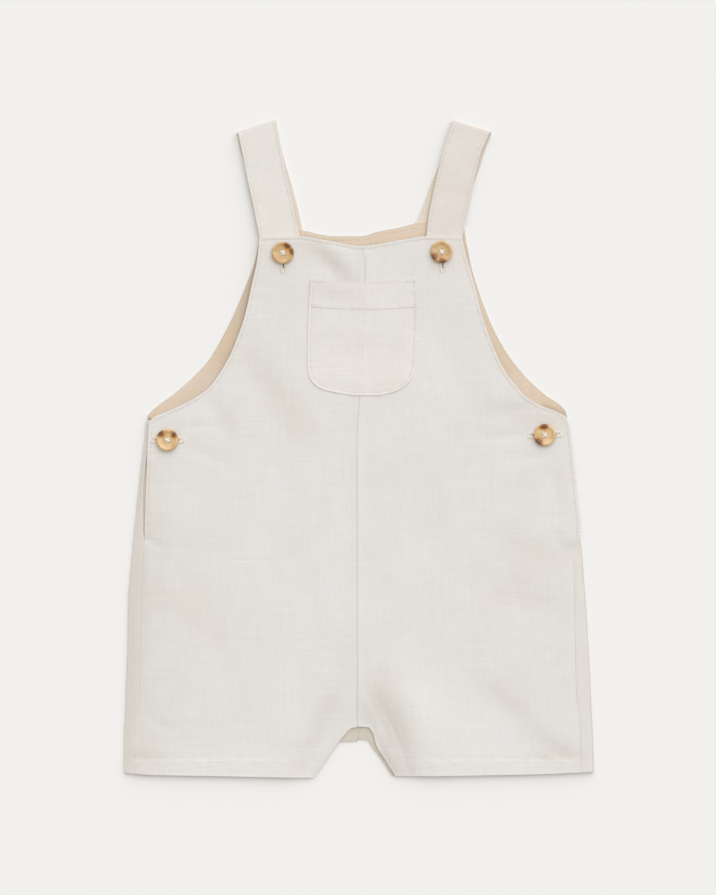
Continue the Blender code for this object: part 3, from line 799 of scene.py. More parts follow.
def strap_maker(front, back, bend_y, bend_depth):
    """A function that gives a point on a strap's outside: share across it from the left, and
    along it from its end behind the bib (0), over the fold (1 to 2) and down to the back (3).
    A soft bend runs across it at one height."""
    down = [smooth_curve(range(len(front)), [row[k] for row in front]) for k in range(4)]
    up = [smooth_curve(range(len(back)), [row[k] for row in back]) for k in range(4)]
    top = front[-1]
    across = np.array([top.right_x - top.left_x, top.right_y - top.left_y])
    outward = np.array([-across[1], across[0]]) / np.hypot(*across)

    def point(share, along):
        turn = np.clip(along - 1, 0, 1)
        on_front = np.clip(along, 0, 1) * (len(front) - 1)
        on_back = np.clip(along - 2, 0, 1) * (len(back) - 1)
        corners = [a(on_front) * (1 - turn) + b(on_back) * turn for a, b in zip(down, up)]
        left_x, left_y, right_x, right_y = corners
        width = np.hypot(right_x - left_x, right_y - left_y)
        out, upward = fold_section(turn)
        out = STRAP_REACH * out
        x = left_x + (right_x - left_x) * share + out * outward[0]
        y = left_y + (right_y - left_y) * share + out * outward[1]
        inside = np.minimum(share, 1 - share) * width
        lift = turned_edge(inside, x, y) + ripple(x, y, 21, 26, 0.06)
        lift = lift - bend_depth * hump(y, bend_y, 6)
        return x, y, STRAP_TOP * (1 + upward) / 2 + lift * rise(turn, 0.5, 0.2)

    return point


def strap(name, node, point, width, finishes):
    """One strap, from its end behind the bib over the fold and down to the back."""
    near = np.array(EDGE_STEPS)
    middle = np.linspace(near[-1], width - near[-1], round((width - 2 * near[-1]) / STRAP_PITCH))
    shares = np.concatenate([near[:-1], middle, width - near[-2::-1]]) / width
    runs = [np.linspace(k, k + 1, parts + 1)[k > 0 :] for k, parts in enumerate(STRAP_PARTS)]
    along = np.concatenate(runs)

    def place(column, row):
        share, turn = shares[column], along[row]
        x, y, z = point(share, turn)
        # Painted shade on the strap's lit rims and over its fold at the top.
        right_rim = 0.35 * RIM_PAINTED_SHADE * rise(share * width, width - 0.8, width - 0.2)
        left_rim = 0.4 * (1 - rise(share * width, 0.4, 1.4))
        fold_rim = RIM_PAINTED_SHADE * rise(np.sin(math.pi * np.clip(turn - 1, 0, 1)), 0.2, 0.9)
        return x, y, z, np.maximum(right_rim + left_rim, fold_rim)

    parts = (len(shares) - 1, len(along) - 1)
    made = cloth(name, *parts, place, STRAP_WALL, finishes, "linen", node)


LEFT_STRAP_WIDTH = 27.3
RIGHT_STRAP_WIDTH = 25.3
LEFT_STRAP_TURN = 0.21
RIGHT_STRAP_TURN = -0.22
left_strap_point = strap_maker(LEFT_STRAP_FRONT, LEFT_STRAP_BACK, 188.0, 0.15)
right_strap_point = strap_maker(RIGHT_STRAP_FRONT, RIGHT_STRAP_BACK, 173.5, 0.14)
strap_lining = woven("strap_lining", (232, 221, 208), (229, 216, 200), yarn=0.45, unevenness=0.7)
linen_left_strap = woven("linen_left_strap", (232, 228, 222), (233, 227, 219), LEFT_STRAP_TURN)
linen_right_strap = woven("linen_right_strap", (230, 224, 217), (229, 221, 213), RIGHT_STRAP_TURN)
left_finishes, right_finishes = [linen_left_strap, strap_lining], [linen_right_strap, strap_lining]
strap("left_strap", "strap_left", left_strap_point, LEFT_STRAP_WIDTH, left_finishes)
strap("right_strap", "strap_right", right_strap_point, RIGHT_STRAP_WIDTH, right_finishes)

# ---------------------------------------------------------------- the front
# Two halves of off-white linen, each bib, body and leg in one piece, joined by the centre seam.
# The bib's top, the armholes and the side openings are turned in and topstitched, and the legs
# end in a deep double hem.

BODY_TOP = 4.3
CHEST_TOP = 4.4
INSEAM_TOP = 2.1
HEM_TOP = 3.0
OVER_FACING = FACING_TOP + 1.7
OVER_STRAP = STRAP_TOP + 1.15
OVER_WRAP = LINEN_WALL + 0.3
BIB_Y = 144.0
BIB_EASE = 40.0
FRONT_PITCH = 1.4
SIDE_EASE = 14.0
SIDE_FREE = (36.0, 8.0)
SEAM_SLOPE = (6.0, 1.0)
INSEAM_SLOPE = (20.0, 0.0)
HEM_SLOPE = (-110.0, -211.0)
WAIST_SLOPE = (-60.0, 30.0)
FACING_SLOPE = (4.0, 18.0)
PLACKET_SIDE_SLOPE = (PLACKET_WIDTH + 30, PLACKET_WIDTH + 4)
PLACKET_FOOT_SLOPE = (SLIT_FOOT_Y - 45, SLIT_FOOT_Y - 7)
STRAP_SIDE_SLOPE = (19.0, 1.0)
STRAP_END_SLOPE = (STRAP_END_Y - 30, STRAP_END_Y - 1)
SEAM_RIDGE = 0.2
HEM_RIDGE = 0.12
HEM_STEP = 0.8
HEM_SETTLE = 0.85
HEM_ROW = HEM_DEPTH + 0.3
SEAM_DIP = 0.03
SEAM_DIM = 0.4
SEAM_END_Y = -189
SEAM_STEPS = (0, 0.3, 0.7, 1.2, 1.8, 2.6, 3.7)

FRONT_LEFT_LEG = table(
    "y x",
    (-189.3, -1.9),
    (-190.0, -5.4),
    (-192.0, -7.6),
    (-195.0, -10.2),
    (-199.0, -13.4),
    (-204.0, -17.2),
    (-212.0, -23.3),
    (-222.0, -31.3),
)
FRONT_RIGHT_LEG = table(
    "y x",
    (-188.8, -1.5),
    (-189.5, 6.6),
    (-191.5, 8.4),
    (-194.3, 9.8),
    (-198.0, 10.7),
    (-202.2, 11.9),
    (-209.0, 16.3),
    (-222.0, 24.8),
)
BIB_TOP = table(
    "x y",
    (-68, 143.9),
    (-41, 144.7),
    (-32, 143.5),
    (-20, 141.4),
    (1, 138.0),
    (31, 142.4),
    (45, 144.5),
    (70, 143.9),
)
# Where the front lies over the turned edge of the back, on the left (-1) and the right (1).
LIFTS = table(
    "side in_start in_full low_start low_full high_start high_full",
    (-1, 20, 3, -34, -6, 34, 21),
    (1, 34, 7, -82, -60, 44, 22),
)

# The folds: three points along each, how high it stands (a hollow is below zero) and how wide
# it is to each side. The broad ones come first, and then the finer creases.
FOLDS = table(
    "x1 y1 x2 y2 x3 y3 height width",
    (2, -168, 12, -188, 26, -221, 0.5, 3.2),
    (30, -156, 39, -185, 53, -221, 1.3, 11.0),
    (14, -166, 26, -190, 36, -222, -0.6, 5.0),
    (-12, -168, -21, -185, -30, -211, -0.6, 6.0),
    (-34, 146, -18, 136, -3, 122, 0.45, 6.5),
    (-41, 137, -25, 127, -9, 114, -0.5, 6.5),
    (-147, -63, -141, -79, -135, -97, -0.4, 5.0),
    (-147, -62, -140, -65, -132, -67, -0.4, 3.5),
    (147, -64, 140, -62, 131, -58, -0.5, 4.5),
    (90, 23, 108, 27, 125, 31, -0.5, 4.5),
    (83, 6, 97, 8, 111, 10, -0.45, 4.0),
    (-104, 35, -97, 22, -91, 7, -0.45, 5.0),
    (-142, -66, -120, -88, -98, -104, -0.5, 9.0),
    (98, -70, 125, -68, 149, -62, -0.3, 9.0),
    (102, -104, 128, -105, 151, -98, -0.25, 9.0),
    (127, -14, 136, -31, 146, -62, -0.4, 5.0),
    (-80, 66, -60, 36, -42, 6, -0.4, 12.0),
    (81, -161, 99, -178, 117, -192, -0.5, 8.5),
    (12, -169, 24, -192, 34, -220, -0.35, 1.3),
    (105, -5, 117, -6, 129, -4, -0.30, 3.0),
    (-120, 12, -108, 16, -96, 15, -0.25, 3.5),
    (-118, 1, -104, -4, -90, -12, -0.25, 4.0),
    (126, -201, 134, -205, 143, -209, -0.35, 4.0),
    (-152, -194, -149, -202, -146, -210, -0.30, 3.0),
    (-145, -181, -136, -187, -125, -191, -0.30, 3.5),
    (-60, -60, -40, -90, -28, -125, -0.25, 11.0),
    (40, -50, 62, -82, 84, -104, -0.20, 12.0),
    (-110, -118, -96, -143, -90, -172, -0.30, 10.0),
    (-14, -120, -16, -145, -12, -166, -0.25, 6.0),
    (14, -128, 12, -148, 14, -166, -0.20, 5.0),
    (52, 84, 62, 56, 82, 30, -0.22, 8.0),
)

bib_top = through(BIB_TOP, "x", "y")


def inseam_distance(x, y):
    """How far a place on the front is from the edge of the crotch or of a leg."""
    left = nearest(x, y, [row.x for row in FRONT_LEFT_LEG], [row.y for row in FRONT_LEFT_LEG])
    right = nearest(x, y, [row.x for row in FRONT_RIGHT_LEG], [row.y for row in FRONT_RIGHT_LEG])
    return np.minimum(left[0], right[0])


def over_strap(x, y, rows):
    """1 where the end of a strap lies under the bib, 0 well clear of it."""
    left = through(rows, "left_y", "left_x")(y)
    right = through(rows, "right_y", "right_x")(y)
    return rise(np.maximum(left - x, x - right), *STRAP_SIDE_SLOPE) * rise(y, *STRAP_END_SLOPE)


def over_turned_edge(x, y):
    """How high the turned edge of the back holds the front up, falling to 0 well clear of it."""
    most = np.zeros(np.shape(x))
    for lift in LIFTS:
        inside = x - front_left(y) if lift.side < 0 else front_right(y) - x
        share = rise(inside, lift.in_start, lift.in_full)
        share = share * rise(y, lift.low_start, lift.low_full)
        share = share * rise(y, lift.high_start, lift.high_full)
        most = np.maximum(most, share * (side_top(lift.side, y) + OVER_WRAP))
    return most


def square_distance(edge, x, y):
    """How far a place is from an edge that runs down the garment, square to the edge."""
    return np.abs(x - edge(y)) / np.hypot(1, edge(y + 0.5) - edge(y - 0.5))


def smooth_most(one, other, blend=0.6):
    """The greater of two heights, with a soft change from one to the other."""
    return (one + other + np.sqrt((one - other) ** 2 + blend**2)) / 2 - blend / 8


def front_top(x, y):
    """How high the outside of the front lies."""
    height = BODY_TOP + (CHEST_TOP - BODY_TOP) * rise(y, *WAIST_SLOPE)
    in_left, in_right = x - front_left(y), front_right(y) - x
    side = np.minimum(in_left, in_right)
    below_armhole = rise(y, *SIDE_FREE)
    from_seam = np.abs(x - centre(y))
    height = height + SEAM_RIDGE * rise(from_seam, *SEAM_SLOPE)
    height = height + ripple(x, y, 31, 52, 0.09) + ripple(x, y, 37, 21, 0.035)
    on_placket = rise(side, *PLACKET_SIDE_SLOPE) * rise(y, *PLACKET_FOOT_SLOPE)
    held_up = np.maximum(rise(y, *FACING_SLOPE), on_placket)
    height = smooth_most(height, INSEAM_TOP + (OVER_FACING - INSEAM_TOP) * held_up)
    height = height + (HEM_TOP - height) * HEM_SETTLE * rise(y, *HEM_SLOPE)
    height = height + (side_top(-1, y) - height) * np.exp(-in_left / SIDE_EASE) * below_armhole
    height = height + (side_top(1, y) - height) * np.exp(-in_right / SIDE_EASE) * below_armhole
    height = height + HEM_RIDGE * rise(y, HEM_Y + HEM_DEPTH + HEM_STEP, HEM_Y + HEM_DEPTH)
    from_inseam = inseam_distance(x, y)
    height = height + (INSEAM_TOP - height) * rise(from_inseam, *INSEAM_SLOPE)
    left, right = square_distance(front_left, x, y), square_distance(front_right, x, y)
    sides = np.minimum(left, right)
    free = rise(y, SLIT_FOOT_Y - 3, SLIT_FOOT_Y)
    folds = along_curves(FOLDS, x, y) * (0.3 + 0.7 * rise(from_inseam, 0, 4))
    height = height + folds * (1 - (1 - rise(sides, 0, 10)) * (1 - free))
    covered = np.maximum(over_strap(x, y, LEFT_STRAP_FRONT), over_strap(x, y, RIGHT_STRAP_FRONT))
    height = height + (OVER_STRAP - height) * covered
    height = smooth_most(height, over_turned_edge(x, y))
    # The turned and stitched edges, the seams' rolled edges, and the row of stitches on the hem.
    height = height + turned_edge(np.minimum(bib_top(x) - y, sides + 50 * (1 - free)), x, y)
    height = height - SIDE_ROLL * (1 - rise(sides, 0, 1.2)) * (1 - free)
    height = height - SEAM_DIP * (1 - rise(from_seam, 0, 1.0)) * (y > SEAM_END_Y)
    from_hem = y - hem(x)
    height = height - SEAM_DIP * hump(from_hem, HEM_ROW, 0.5)
    return height + ripple(x, y, 41, 8, 0.07) * hump(from_hem, HEM_DEPTH, 3.5)


linen_front = woven("linen_front", (230, 227, 224), (229, 225, 219), unevenness=1.1)


def front_half(name, node, side, outer, leg_rows):
    """Half of the front, from the bib's top to the hem. side is -1 for left and 1 for right."""
    leg = through(leg_rows, "y", "x")
    leg_top = max(row.y for row in leg_rows)
    hem_steps = (0.45, 0.9, 1.6, HEM_DEPTH - 0.5, HEM_DEPTH, HEM_DEPTH + 0.4, HEM_DEPTH + 0.9)
    marks = [row.y for row in leg_rows] + [HEM_Y + step for step in hem_steps]
    marks += [BIB_Y - step for step in EDGE_STEPS]
    marks += list(np.linspace(leg_rows[0].y, leg_rows[1].y, 9))
    levels = heights(HEM_Y, BIB_Y, marks, FRONT_PITCH)
    columns = len(SEAM_STEPS) + len(EDGE_STEPS) + 90

    def place(column, row):
        y = levels[row]
        column = columns - column if side < 0 else column
        seam = np.where(y < leg_top, leg(y), centre(y) + side * SEAM_GAP / 2)
        width = np.abs(outer(y) - seam)
        slope = np.clip(np.hypot(1, outer(y + 0.5) - outer(y - 0.5)), 1, 2.6)
        out = spread(column, columns, SEAM_STEPS, EDGE_STEPS, width, far_scale=slope)
        x = seam + side * out
        y = y + (bib_top(x) - BIB_Y) * rise(y, BIB_Y - BIB_EASE, BIB_Y)
        y = y + hem_shift(x, y)
        # The listed painted shade and painted light, and a darker line along the centre seam.
        at_seam = (1 - rise(np.abs(x - centre(y)), 0.3, 1.2)) * (y > SEAM_END_Y)
        return x, y, front_top(x, y), curve_painted_shade(x, y) + SEAM_DIM * at_seam

    made = cloth(name, columns, len(levels) - 1, place, LINEN_WALL, [linen_front], "linen", node)


front_half("left_front", "front_panel_left", -1, front_left, FRONT_LEFT_LEG)
front_half("right_front", "front_panel_right", 1, front_right, FRONT_RIGHT_LEG)

# ---------------------------------------------------------------- the pocket
# A patch pocket of the same linen over the centre seam. Its deep top hem is turned in, its
# lower corners are rounded, and it is stitched on close to its edge, with the mouth left open.

POCKET_WALL = 0.4
POCKET_PITCH = 0.85
POCKET_HEM = 18.5
POCKET_MIDDLE_X = 3.0
POCKET_MOUTH_DIP = 1.7
POCKET_GAPE = 1.1
POCKET_GAPE_X = -14.0
POCKET_STEPS = (0, 0.4, 0.8, 1.2, 1.6, 2.0, 2.4, 2.9, 3.6)
POCKET = table(
    "y left right",
    (115.3, -32.6, 38.8),
    (97.0, -34.0, 40.1),
    (72.0, -34.9, 39.4),
    (56.0, -34.8, 38.5),
    (49.0, -33.6, 36.2),
    (44.5, -30.6, 32.9),
    (41.0, -25.6, 28.6),
    (38.6, -17.0, 23.2),
    (36.4, -3.0, 13.0),
)
POCKET_TOP_Y = POCKET[0].y
POCKET_FOOT_Y = POCKET[-1].y
HEM_LINE_Y = POCKET_TOP_Y - POCKET_HEM
pocket_left = through(POCKET, "y", "left")
pocket_right = through(POCKET, "y", "right")

# Its sewn edge as one line: down the left side, round the foot and up the right side.
down_levels = np.linspace(POCKET_TOP_Y, POCKET_FOOT_Y, 70)
pocket_edge_x = np.concatenate([pocket_left(down_levels), pocket_right(down_levels[::-1])])
pocket_edge_y = np.concatenate([down_levels, down_levels[::-1]])


def mouth_dip(x):
    """How far the pocket's mouth sags below its corners."""
    across = (x - POCKET_MIDDLE_X) / (POCKET[0].right - POCKET_MIDDLE_X)
    return POCKET_MOUTH_DIP * np.maximum(0, 1 - across * across)


def pocket_top(x, y):
    """How high the outside of the pocket lies."""
    inside, _ = nearest(x, y, pocket_edge_x, pocket_edge_y)
    from_mouth = POCKET_TOP_Y - mouth_dip(x) - y
    from_line = y - (HEM_LINE_Y - mouth_dip(x))
    height = front_top(x, y) + POCKET_WALL + 0.03 + 0.2 * rise(inside, 1.5, 9)
    height = height + turned_edge(inside, x, y) + ripple(x, y, 43, 22, 0.06)
    height = height + HEM_RIDGE * rise(from_line, -HEM_STEP, 0) - 0.06 * hump(from_line, 0, 0.5)
    height = height + ripple(x, y, 47, 7, 0.05) * hump(from_line, 0, 2.5)
    gape = POCKET_GAPE * rise(from_mouth, 14, 0) * rise(np.abs(x - POCKET_GAPE_X), 24, 3)
    return height + gape + 0.12 * (1 - rise(from_mouth, 0, 1.4))


linen_pocket = woven("linen_pocket", (231, 227, 222), (231, 225, 219))


def pocket():
    """The pocket, from its mouth down to its rounded foot."""
    marks = [row.y for row in POCKET] + [POCKET_TOP_Y - step for step in POCKET_STEPS]
    marks += [POCKET_FOOT_Y + step for step in POCKET_STEPS]
    marks += [HEM_LINE_Y + step for step in (-0.9, -0.4, 0, 0.5)]
    levels = heights(POCKET_FOOT_Y, POCKET_TOP_Y, marks, POCKET_PITCH)
    columns = 92

    def place(column, row):
        y = levels[row]
        left, width = pocket_left(y), pocket_right(y) - pocket_left(y)
        squeeze = np.clip(width / 30, 0, 1)
        x = left + spread(column, columns, POCKET_STEPS, POCKET_STEPS, width, squeeze, squeeze)
        y = y - mouth_dip(x) * rise(y, HEM_LINE_Y - POCKET_HEM, HEM_LINE_Y)
        inside, _ = nearest(x, y, pocket_edge_x, pocket_edge_y)
        # Painted light along the pocket's edges left of x = 20 and round its foot, and over its
        # lower part.
        painted_shading = -0.3 * RIM_PAINTED_SHADE * (1 - rise(inside, 0.2, 1.3)) * (x < 20) - 0.25 * rise(y, 78, 52)
        return x, y, pocket_top(x, y), painted_shading

    sizes = (columns, len(levels) - 1, place, POCKET_WALL)
    made = cloth("pocket", *sizes, [linen_pocket], "linen", "bib_pocket")


pocket()

# ---------------------------------------------------------------- the topstitching
# Cream thread, in stitches 2.4 mm apart, 2 mm inside the turned edges. Each lies in the cloth
# between two small flat specks of painted shade for the shadowed needle holes. Along the hems they
# are sunk between the yarns.

STITCH = 2.4
STITCH_LENGTH = 1.65
STITCH_WIDTH = 0.42
STITCH_HEIGHT = 0.34
THREAD_LIFT = 0.06
SUNK_LIFT = -0.02
HOLE_RADIUS = 0.36
HOLE_HEIGHT = 0.14
HOLE_LIFT = 0.03

thread_place, finish_thread = material("cream_thread", Roughness=0.7, Sheen_Weight=0.2)
twist = thread_place.noise(2600.0, 1.0).ease(0.2, 0.8)
cream_thread = finish_thread(twist.mixed(linear(230, 223, 212), linear(240, 235, 228)))
# Flat dark specks of painted shade stand for the shadowed needle holes.
hole_place, finish_hole = material("needle_hole_shade", Roughness=1.0, Specular_IOR_Level=0.0)
depth = hole_place.noise(900.0, 1.0).ease(0.3, 0.7)
needle_hole_shade = finish_hole(depth.mixed(linear(210, 188, 162), linear(221, 203, 180)))


def inset_line(xs, ys, inset):
    """A line moved to its left by a distance, with its corners kept."""
    xs, ys = np.array(xs, float), np.array(ys, float)
    dx, dy = np.diff(xs), np.diff(ys)
    length = np.maximum(np.hypot(dx, dy), 1e-9)
    normal_x, normal_y = -dy / length, dx / length
    mid_x = np.append(normal_x, normal_x[-1]) + np.insert(normal_x, 0, normal_x[0])
    mid_y = np.append(normal_y, normal_y[-1]) + np.insert(normal_y, 0, normal_y[0])
    scale = 2 * inset / np.maximum(mid_x**2 + mid_y**2, 1.2)
    return xs + mid_x * scale, ys + mid_y * scale


def paint(made, number):
    """Gives the faces of newly made geometry the material of this number."""
    for face in {face for vertex in made["verts"] for face in vertex.link_faces}:
        face.material_index = number


def stitches(mesh, xs, ys, surface, lift, holes):
    """Adds a row of stitches, and specks of painted shade for the needle holes between them, along a
    line to a mesh.
    """
    run = np.concatenate([[0], np.cumsum(np.hypot(np.diff(xs), np.diff(ys)))])
    count = int(run[-1] / STITCH)
    at = {
        "middle": (np.arange(count) + 0.5) * run[-1] / count,
        "hole": np.arange(count + 1) * run[-1] / count,
    }
    at["start"], at["end"] = at["middle"] - STITCH_LENGTH / 2, at["middle"] + STITCH_LENGTH / 2
    spots = {}
    for name, places in at.items():
        x, y = np.interp(places, run, xs), np.interp(places, run, ys)
        spots[name] = np.column_stack([x, y, surface(x, y)])
    size = Matrix.Diagonal((STITCH_LENGTH / 2, STITCH_WIDTH / 2, STITCH_HEIGHT / 2, 1))
    for middle, start, end in zip(spots["middle"], spots["start"], spots["end"]):
        turn = Vector(end - start).to_track_quat("X", "Z").to_matrix().to_4x4()
        move = Matrix.Translation(Vector(middle) + Vector((0, 0, lift)))
        matrix = Matrix.Scale(MM, 4) @ move @ turn @ size
        bmesh.ops.create_uvsphere(mesh, u_segments=6, v_segments=5, radius=1, matrix=matrix)
    size = Matrix.Diagonal((HOLE_RADIUS, HOLE_RADIUS, HOLE_HEIGHT / 2, 1))
    for spot in spots["hole"] if holes else ():
        move = Matrix.Translation(Vector(spot) + Vector((0, 0, HOLE_LIFT)))
        matrix = Matrix.Scale(MM, 4) @ move @ size
        paint(bmesh.ops.create_icosphere(mesh, subdivisions=1, radius=1, matrix=matrix), 1)


def sewn(name, rows):
    """A piece of stitching, from rows of xs, ys and the surface that they lie on. Rows with a
    lift of their own are sunk between the yarns and get no painted needle-hole shade."""
    mesh = bmesh.new()
    for xs, ys, surface, *lift in rows:
        stitches(mesh, xs, ys, surface, lift[0] if lift else THREAD_LIFT, not lift)
    new_piece(name, as_mesh(mesh, name, cream_thread, needle_hole_shade), "linen")


# The front's free edge: up the left side opening and armhole, along the bib, and down again.
side_levels = np.linspace(SLIT_FOOT_Y + 3, BIB_Y, 130)
bib_xs = np.linspace(front_left(BIB_Y), front_right(BIB_Y), 50)[1:-1]
free_x = np.concatenate([front_left(side_levels), bib_xs, front_right(side_levels[::-1])])
free_y = np.concatenate([side_levels, bib_top(bib_xs), side_levels[::-1]])
left_hem_x = np.linspace(-150.8, -24.5, 60)
right_hem_x = np.linspace(18.2, 148.2, 60)
sewn(
    "front_topstitching",
    [
        (*inset_line(free_x, free_y, -STITCH_INSET), front_top),
        (left_hem_x, hem(left_hem_x) + HEM_ROW, front_top, SUNK_LIFT),
        (right_hem_x, hem(right_hem_x) + HEM_ROW, front_top, SUNK_LIFT),
    ],
)

# The pocket's sewn edge, its hem, and the short rows that hold the corners of its mouth.
pocket_hem_x = np.linspace(-31.0, 37.2, 40)
pocket_rows = [
    (*inset_line(pocket_edge_x, pocket_edge_y, STITCH_INSET), pocket_top),
    (pocket_hem_x, HEM_LINE_Y - mouth_dip(pocket_hem_x), pocket_top),
]
for corner_x, towards in ((pocket_left(POCKET_TOP_Y), 1), (pocket_right(POCKET_TOP_Y), -1)):
    corner_xs = corner_x + towards * np.linspace(1.2, 6.4, 6)
    pocket_rows.append((corner_xs, POCKET_TOP_Y - mouth_dip(corner_xs) - 1.4, pocket_top))
sewn("pocket_topstitching", pocket_rows)


def strap_row(point, start, share):
    """A row of stitches along a strap, at this share of its width, from the bib to the fold."""
    x, y, z = point(np.full(60, share), np.linspace(start, 0.985, 60))
    by_level = smooth_curve(y, z)
    return x, y, lambda at_x, at_y: by_level(at_y)


left_share, right_share = STITCH_INSET / LEFT_STRAP_WIDTH, STITCH_INSET / RIGHT_STRAP_WIDTH
strap_rows = [strap_row(left_strap_point, 0.2, share) for share in (left_share, 1 - left_share)]
strap_rows += [strap_row(right_strap_point, 0.17, share) for share in (right_share, 1 - right_share)]
sewn("strap_topstitching", strap_rows)

# The facing's neckline.
neck_x = np.linspace(-66, 69, 60)
sewn("facing_topstitching", [(neck_x, neckline(neck_x) - FACING_STITCH_INSET, facing_top)])

# ---------------------------------------------------------------- the buttonholes
# Satin stitch in cream thread along both sides of a slit. On the bib they run up and down, and
# show below the buttons. At the sides they run across, and show at both ends. The open slit is a
# dark strip of painted shade.

SATIN = 0.42
SATIN_REACH = 1.9
SATIN_HEIGHT = 0.26
END_STITCHES = 3
END_PITCH = 0.33
SLIT_WIDTH = 0.9
SLIT_HEIGHT = 0.12
SLIT_SHORTER = 2.4
SLIT_PARTS = 10

# The open slit: a dark strip of painted shade.
slit_place, finish_slit = material("slit_shade", Roughness=1.0, Specular_IOR_Level=0.0)
depth = slit_place.noise(700.0).ease(0.3, 0.7)
slit_shade = finish_slit(depth.mixed(linear(122, 98, 72), linear(150, 124, 96)))

BUTTONHOLES = table(
    "name x y turn half",
    ("left_bib_buttonhole", -51.3, 129.0, 90, 8.6),
    ("right_bib_buttonhole", 56.9, 129.2, 90, 8.6),
    ("left_side_buttonhole", -130.2, 6.1, 0, 10.6),
    ("right_side_buttonhole", 126.1, 9.5, 2, 10.6),
)


def buttonhole(name, x, y, turn, half):
    """One worked buttonhole, half its length to each side of its middle."""
    mesh = bmesh.new()
    chance = np.random.default_rng(int(abs(x)))
    # Each stitch: how far along the slit and to its side it lies, and half its size both ways.
    rows = []
    for out in np.arange(-half, half + 0.01, SATIN):
        for side in (-1, 1):
            reach = (SATIN_REACH / 2 + 0.1) * chance.uniform(0.94, 1.06)
            beside = side * (SATIN_REACH + SLIT_WIDTH) / 2
            rows.append((out, beside, SATIN * 0.56, reach, SATIN_HEIGHT, 0))
    for end in (-1, 1):
        for step in range(END_STITCHES):
            out, reach = half + 0.1 + step * END_PITCH, SATIN_REACH + SLIT_WIDTH / 2
            rows.append((end * out, 0, SATIN * 0.56, reach, SATIN_HEIGHT, 0))
    # The open slit between the rows, in painted shade.
    open_half = half - SLIT_SHORTER
    for k in range(SLIT_PARTS):
        out = -open_half + 2 * open_half * (k + 0.5) / SLIT_PARTS
        rows.append((out, 0, open_half / SLIT_PARTS * 1.3, SLIT_WIDTH / 2, SLIT_HEIGHT, 1))
    rows = np.array(rows)
    angle = math.radians(turn)
    spot_x = x + rows[:, 0] * math.cos(angle) - rows[:, 1] * math.sin(angle)
    spot_y = y + rows[:, 0] * math.sin(angle) + rows[:, 1] * math.cos(angle)
    spot_z = front_top(spot_x, spot_y) + 0.05
    turned = Matrix.Scale(MM, 4)
    for row, spot in zip(rows, zip(spot_x, spot_y, spot_z)):
        size = Matrix.Diagonal((*row[2:5], 1))
        matrix = turned @ Matrix.Translation(spot) @ Matrix.Rotation(angle, 4, "Z") @ size
        made = bmesh.ops.create_uvsphere(mesh, u_segments=6, v_segments=6, radius=1, matrix=matrix)
        paint(made, int(row[5]))
    new_piece(name, as_mesh(mesh, name, cream_thread, slit_shade), "linen")


for row in BUTTONHOLES:
    buttonhole(*row)

# ---------------------------------------------------------------- the buttons
# Four-hole buttons with the look of polished honey-coloured horn, each with brown patches of its
# own. They are turned with a raised rim round a shallow dish, and sewn on with a cross of thread.

BUTTON_RADIUS = 7.5
BUTTON_HEIGHT = 2.6
BUTTON_GAP = 0.06
BUTTON_SIDES = 56
HOLE_SPACING = 2.5
HOLE_WIDTH = 1.0
# The cross of thread: its two arms' directions and heights over the dish, and the strands in each.
ARMS = ((45, 0.28), (135, 0.62))
STRAND_WIDTH = 0.34
STRAND_HEIGHT = 0.28
STRAND_PITCH = 0.4
SIDE_STRAND_DROP = 0.08
PALER = 13
BUTTON_SECTION = table(
    "out up",
    (0.0, 0.69),
    (0.30, 0.695),
    (0.50, 0.715),
    (0.60, 0.75),
    (0.68, 0.83),
    (0.74, 0.92),
    (0.80, 0.985),
    (0.85, 1.0),
    (0.90, 0.98),
    (0.95, 0.90),
    (0.985, 0.78),
    (1.0, 0.64),
    (0.99, 0.46),
    (0.95, 0.28),
    (0.87, 0.12),
    (0.76, 0.03),
    (0.6, 0.0),
    (0.0, 0.0),
)
BUTTONS = table(
    "name node x y turn",
    ("left_bib_button", "bib_button_left", -51.8, 133.1, 10),
    ("right_bib_button", "bib_button_right", 56.0, 133.8, -8),
    ("left_side_button", "side_button_left", -130.2, 6.1, 12),
    ("right_side_button", "side_button_right", 126.1, 9.5, 3),
)
# The brown patches: the button's number, how far out from its middle and in which direction,
# and how wide the patch is.
PATCHES = table(
    "button out direction width",
    (0, 6.2, 55, 3.4),
    (0, 6.4, 5, 2.6),
    (1, 6.0, 215, 3.2),
    (1, 6.6, 275, 3.0),
    (2, 6.4, 135, 2.8),
    (2, 6.4, 40, 2.8),
    (3, 6.2, 95, 3.2),
    (3, 6.2, 225, 3.0),
)


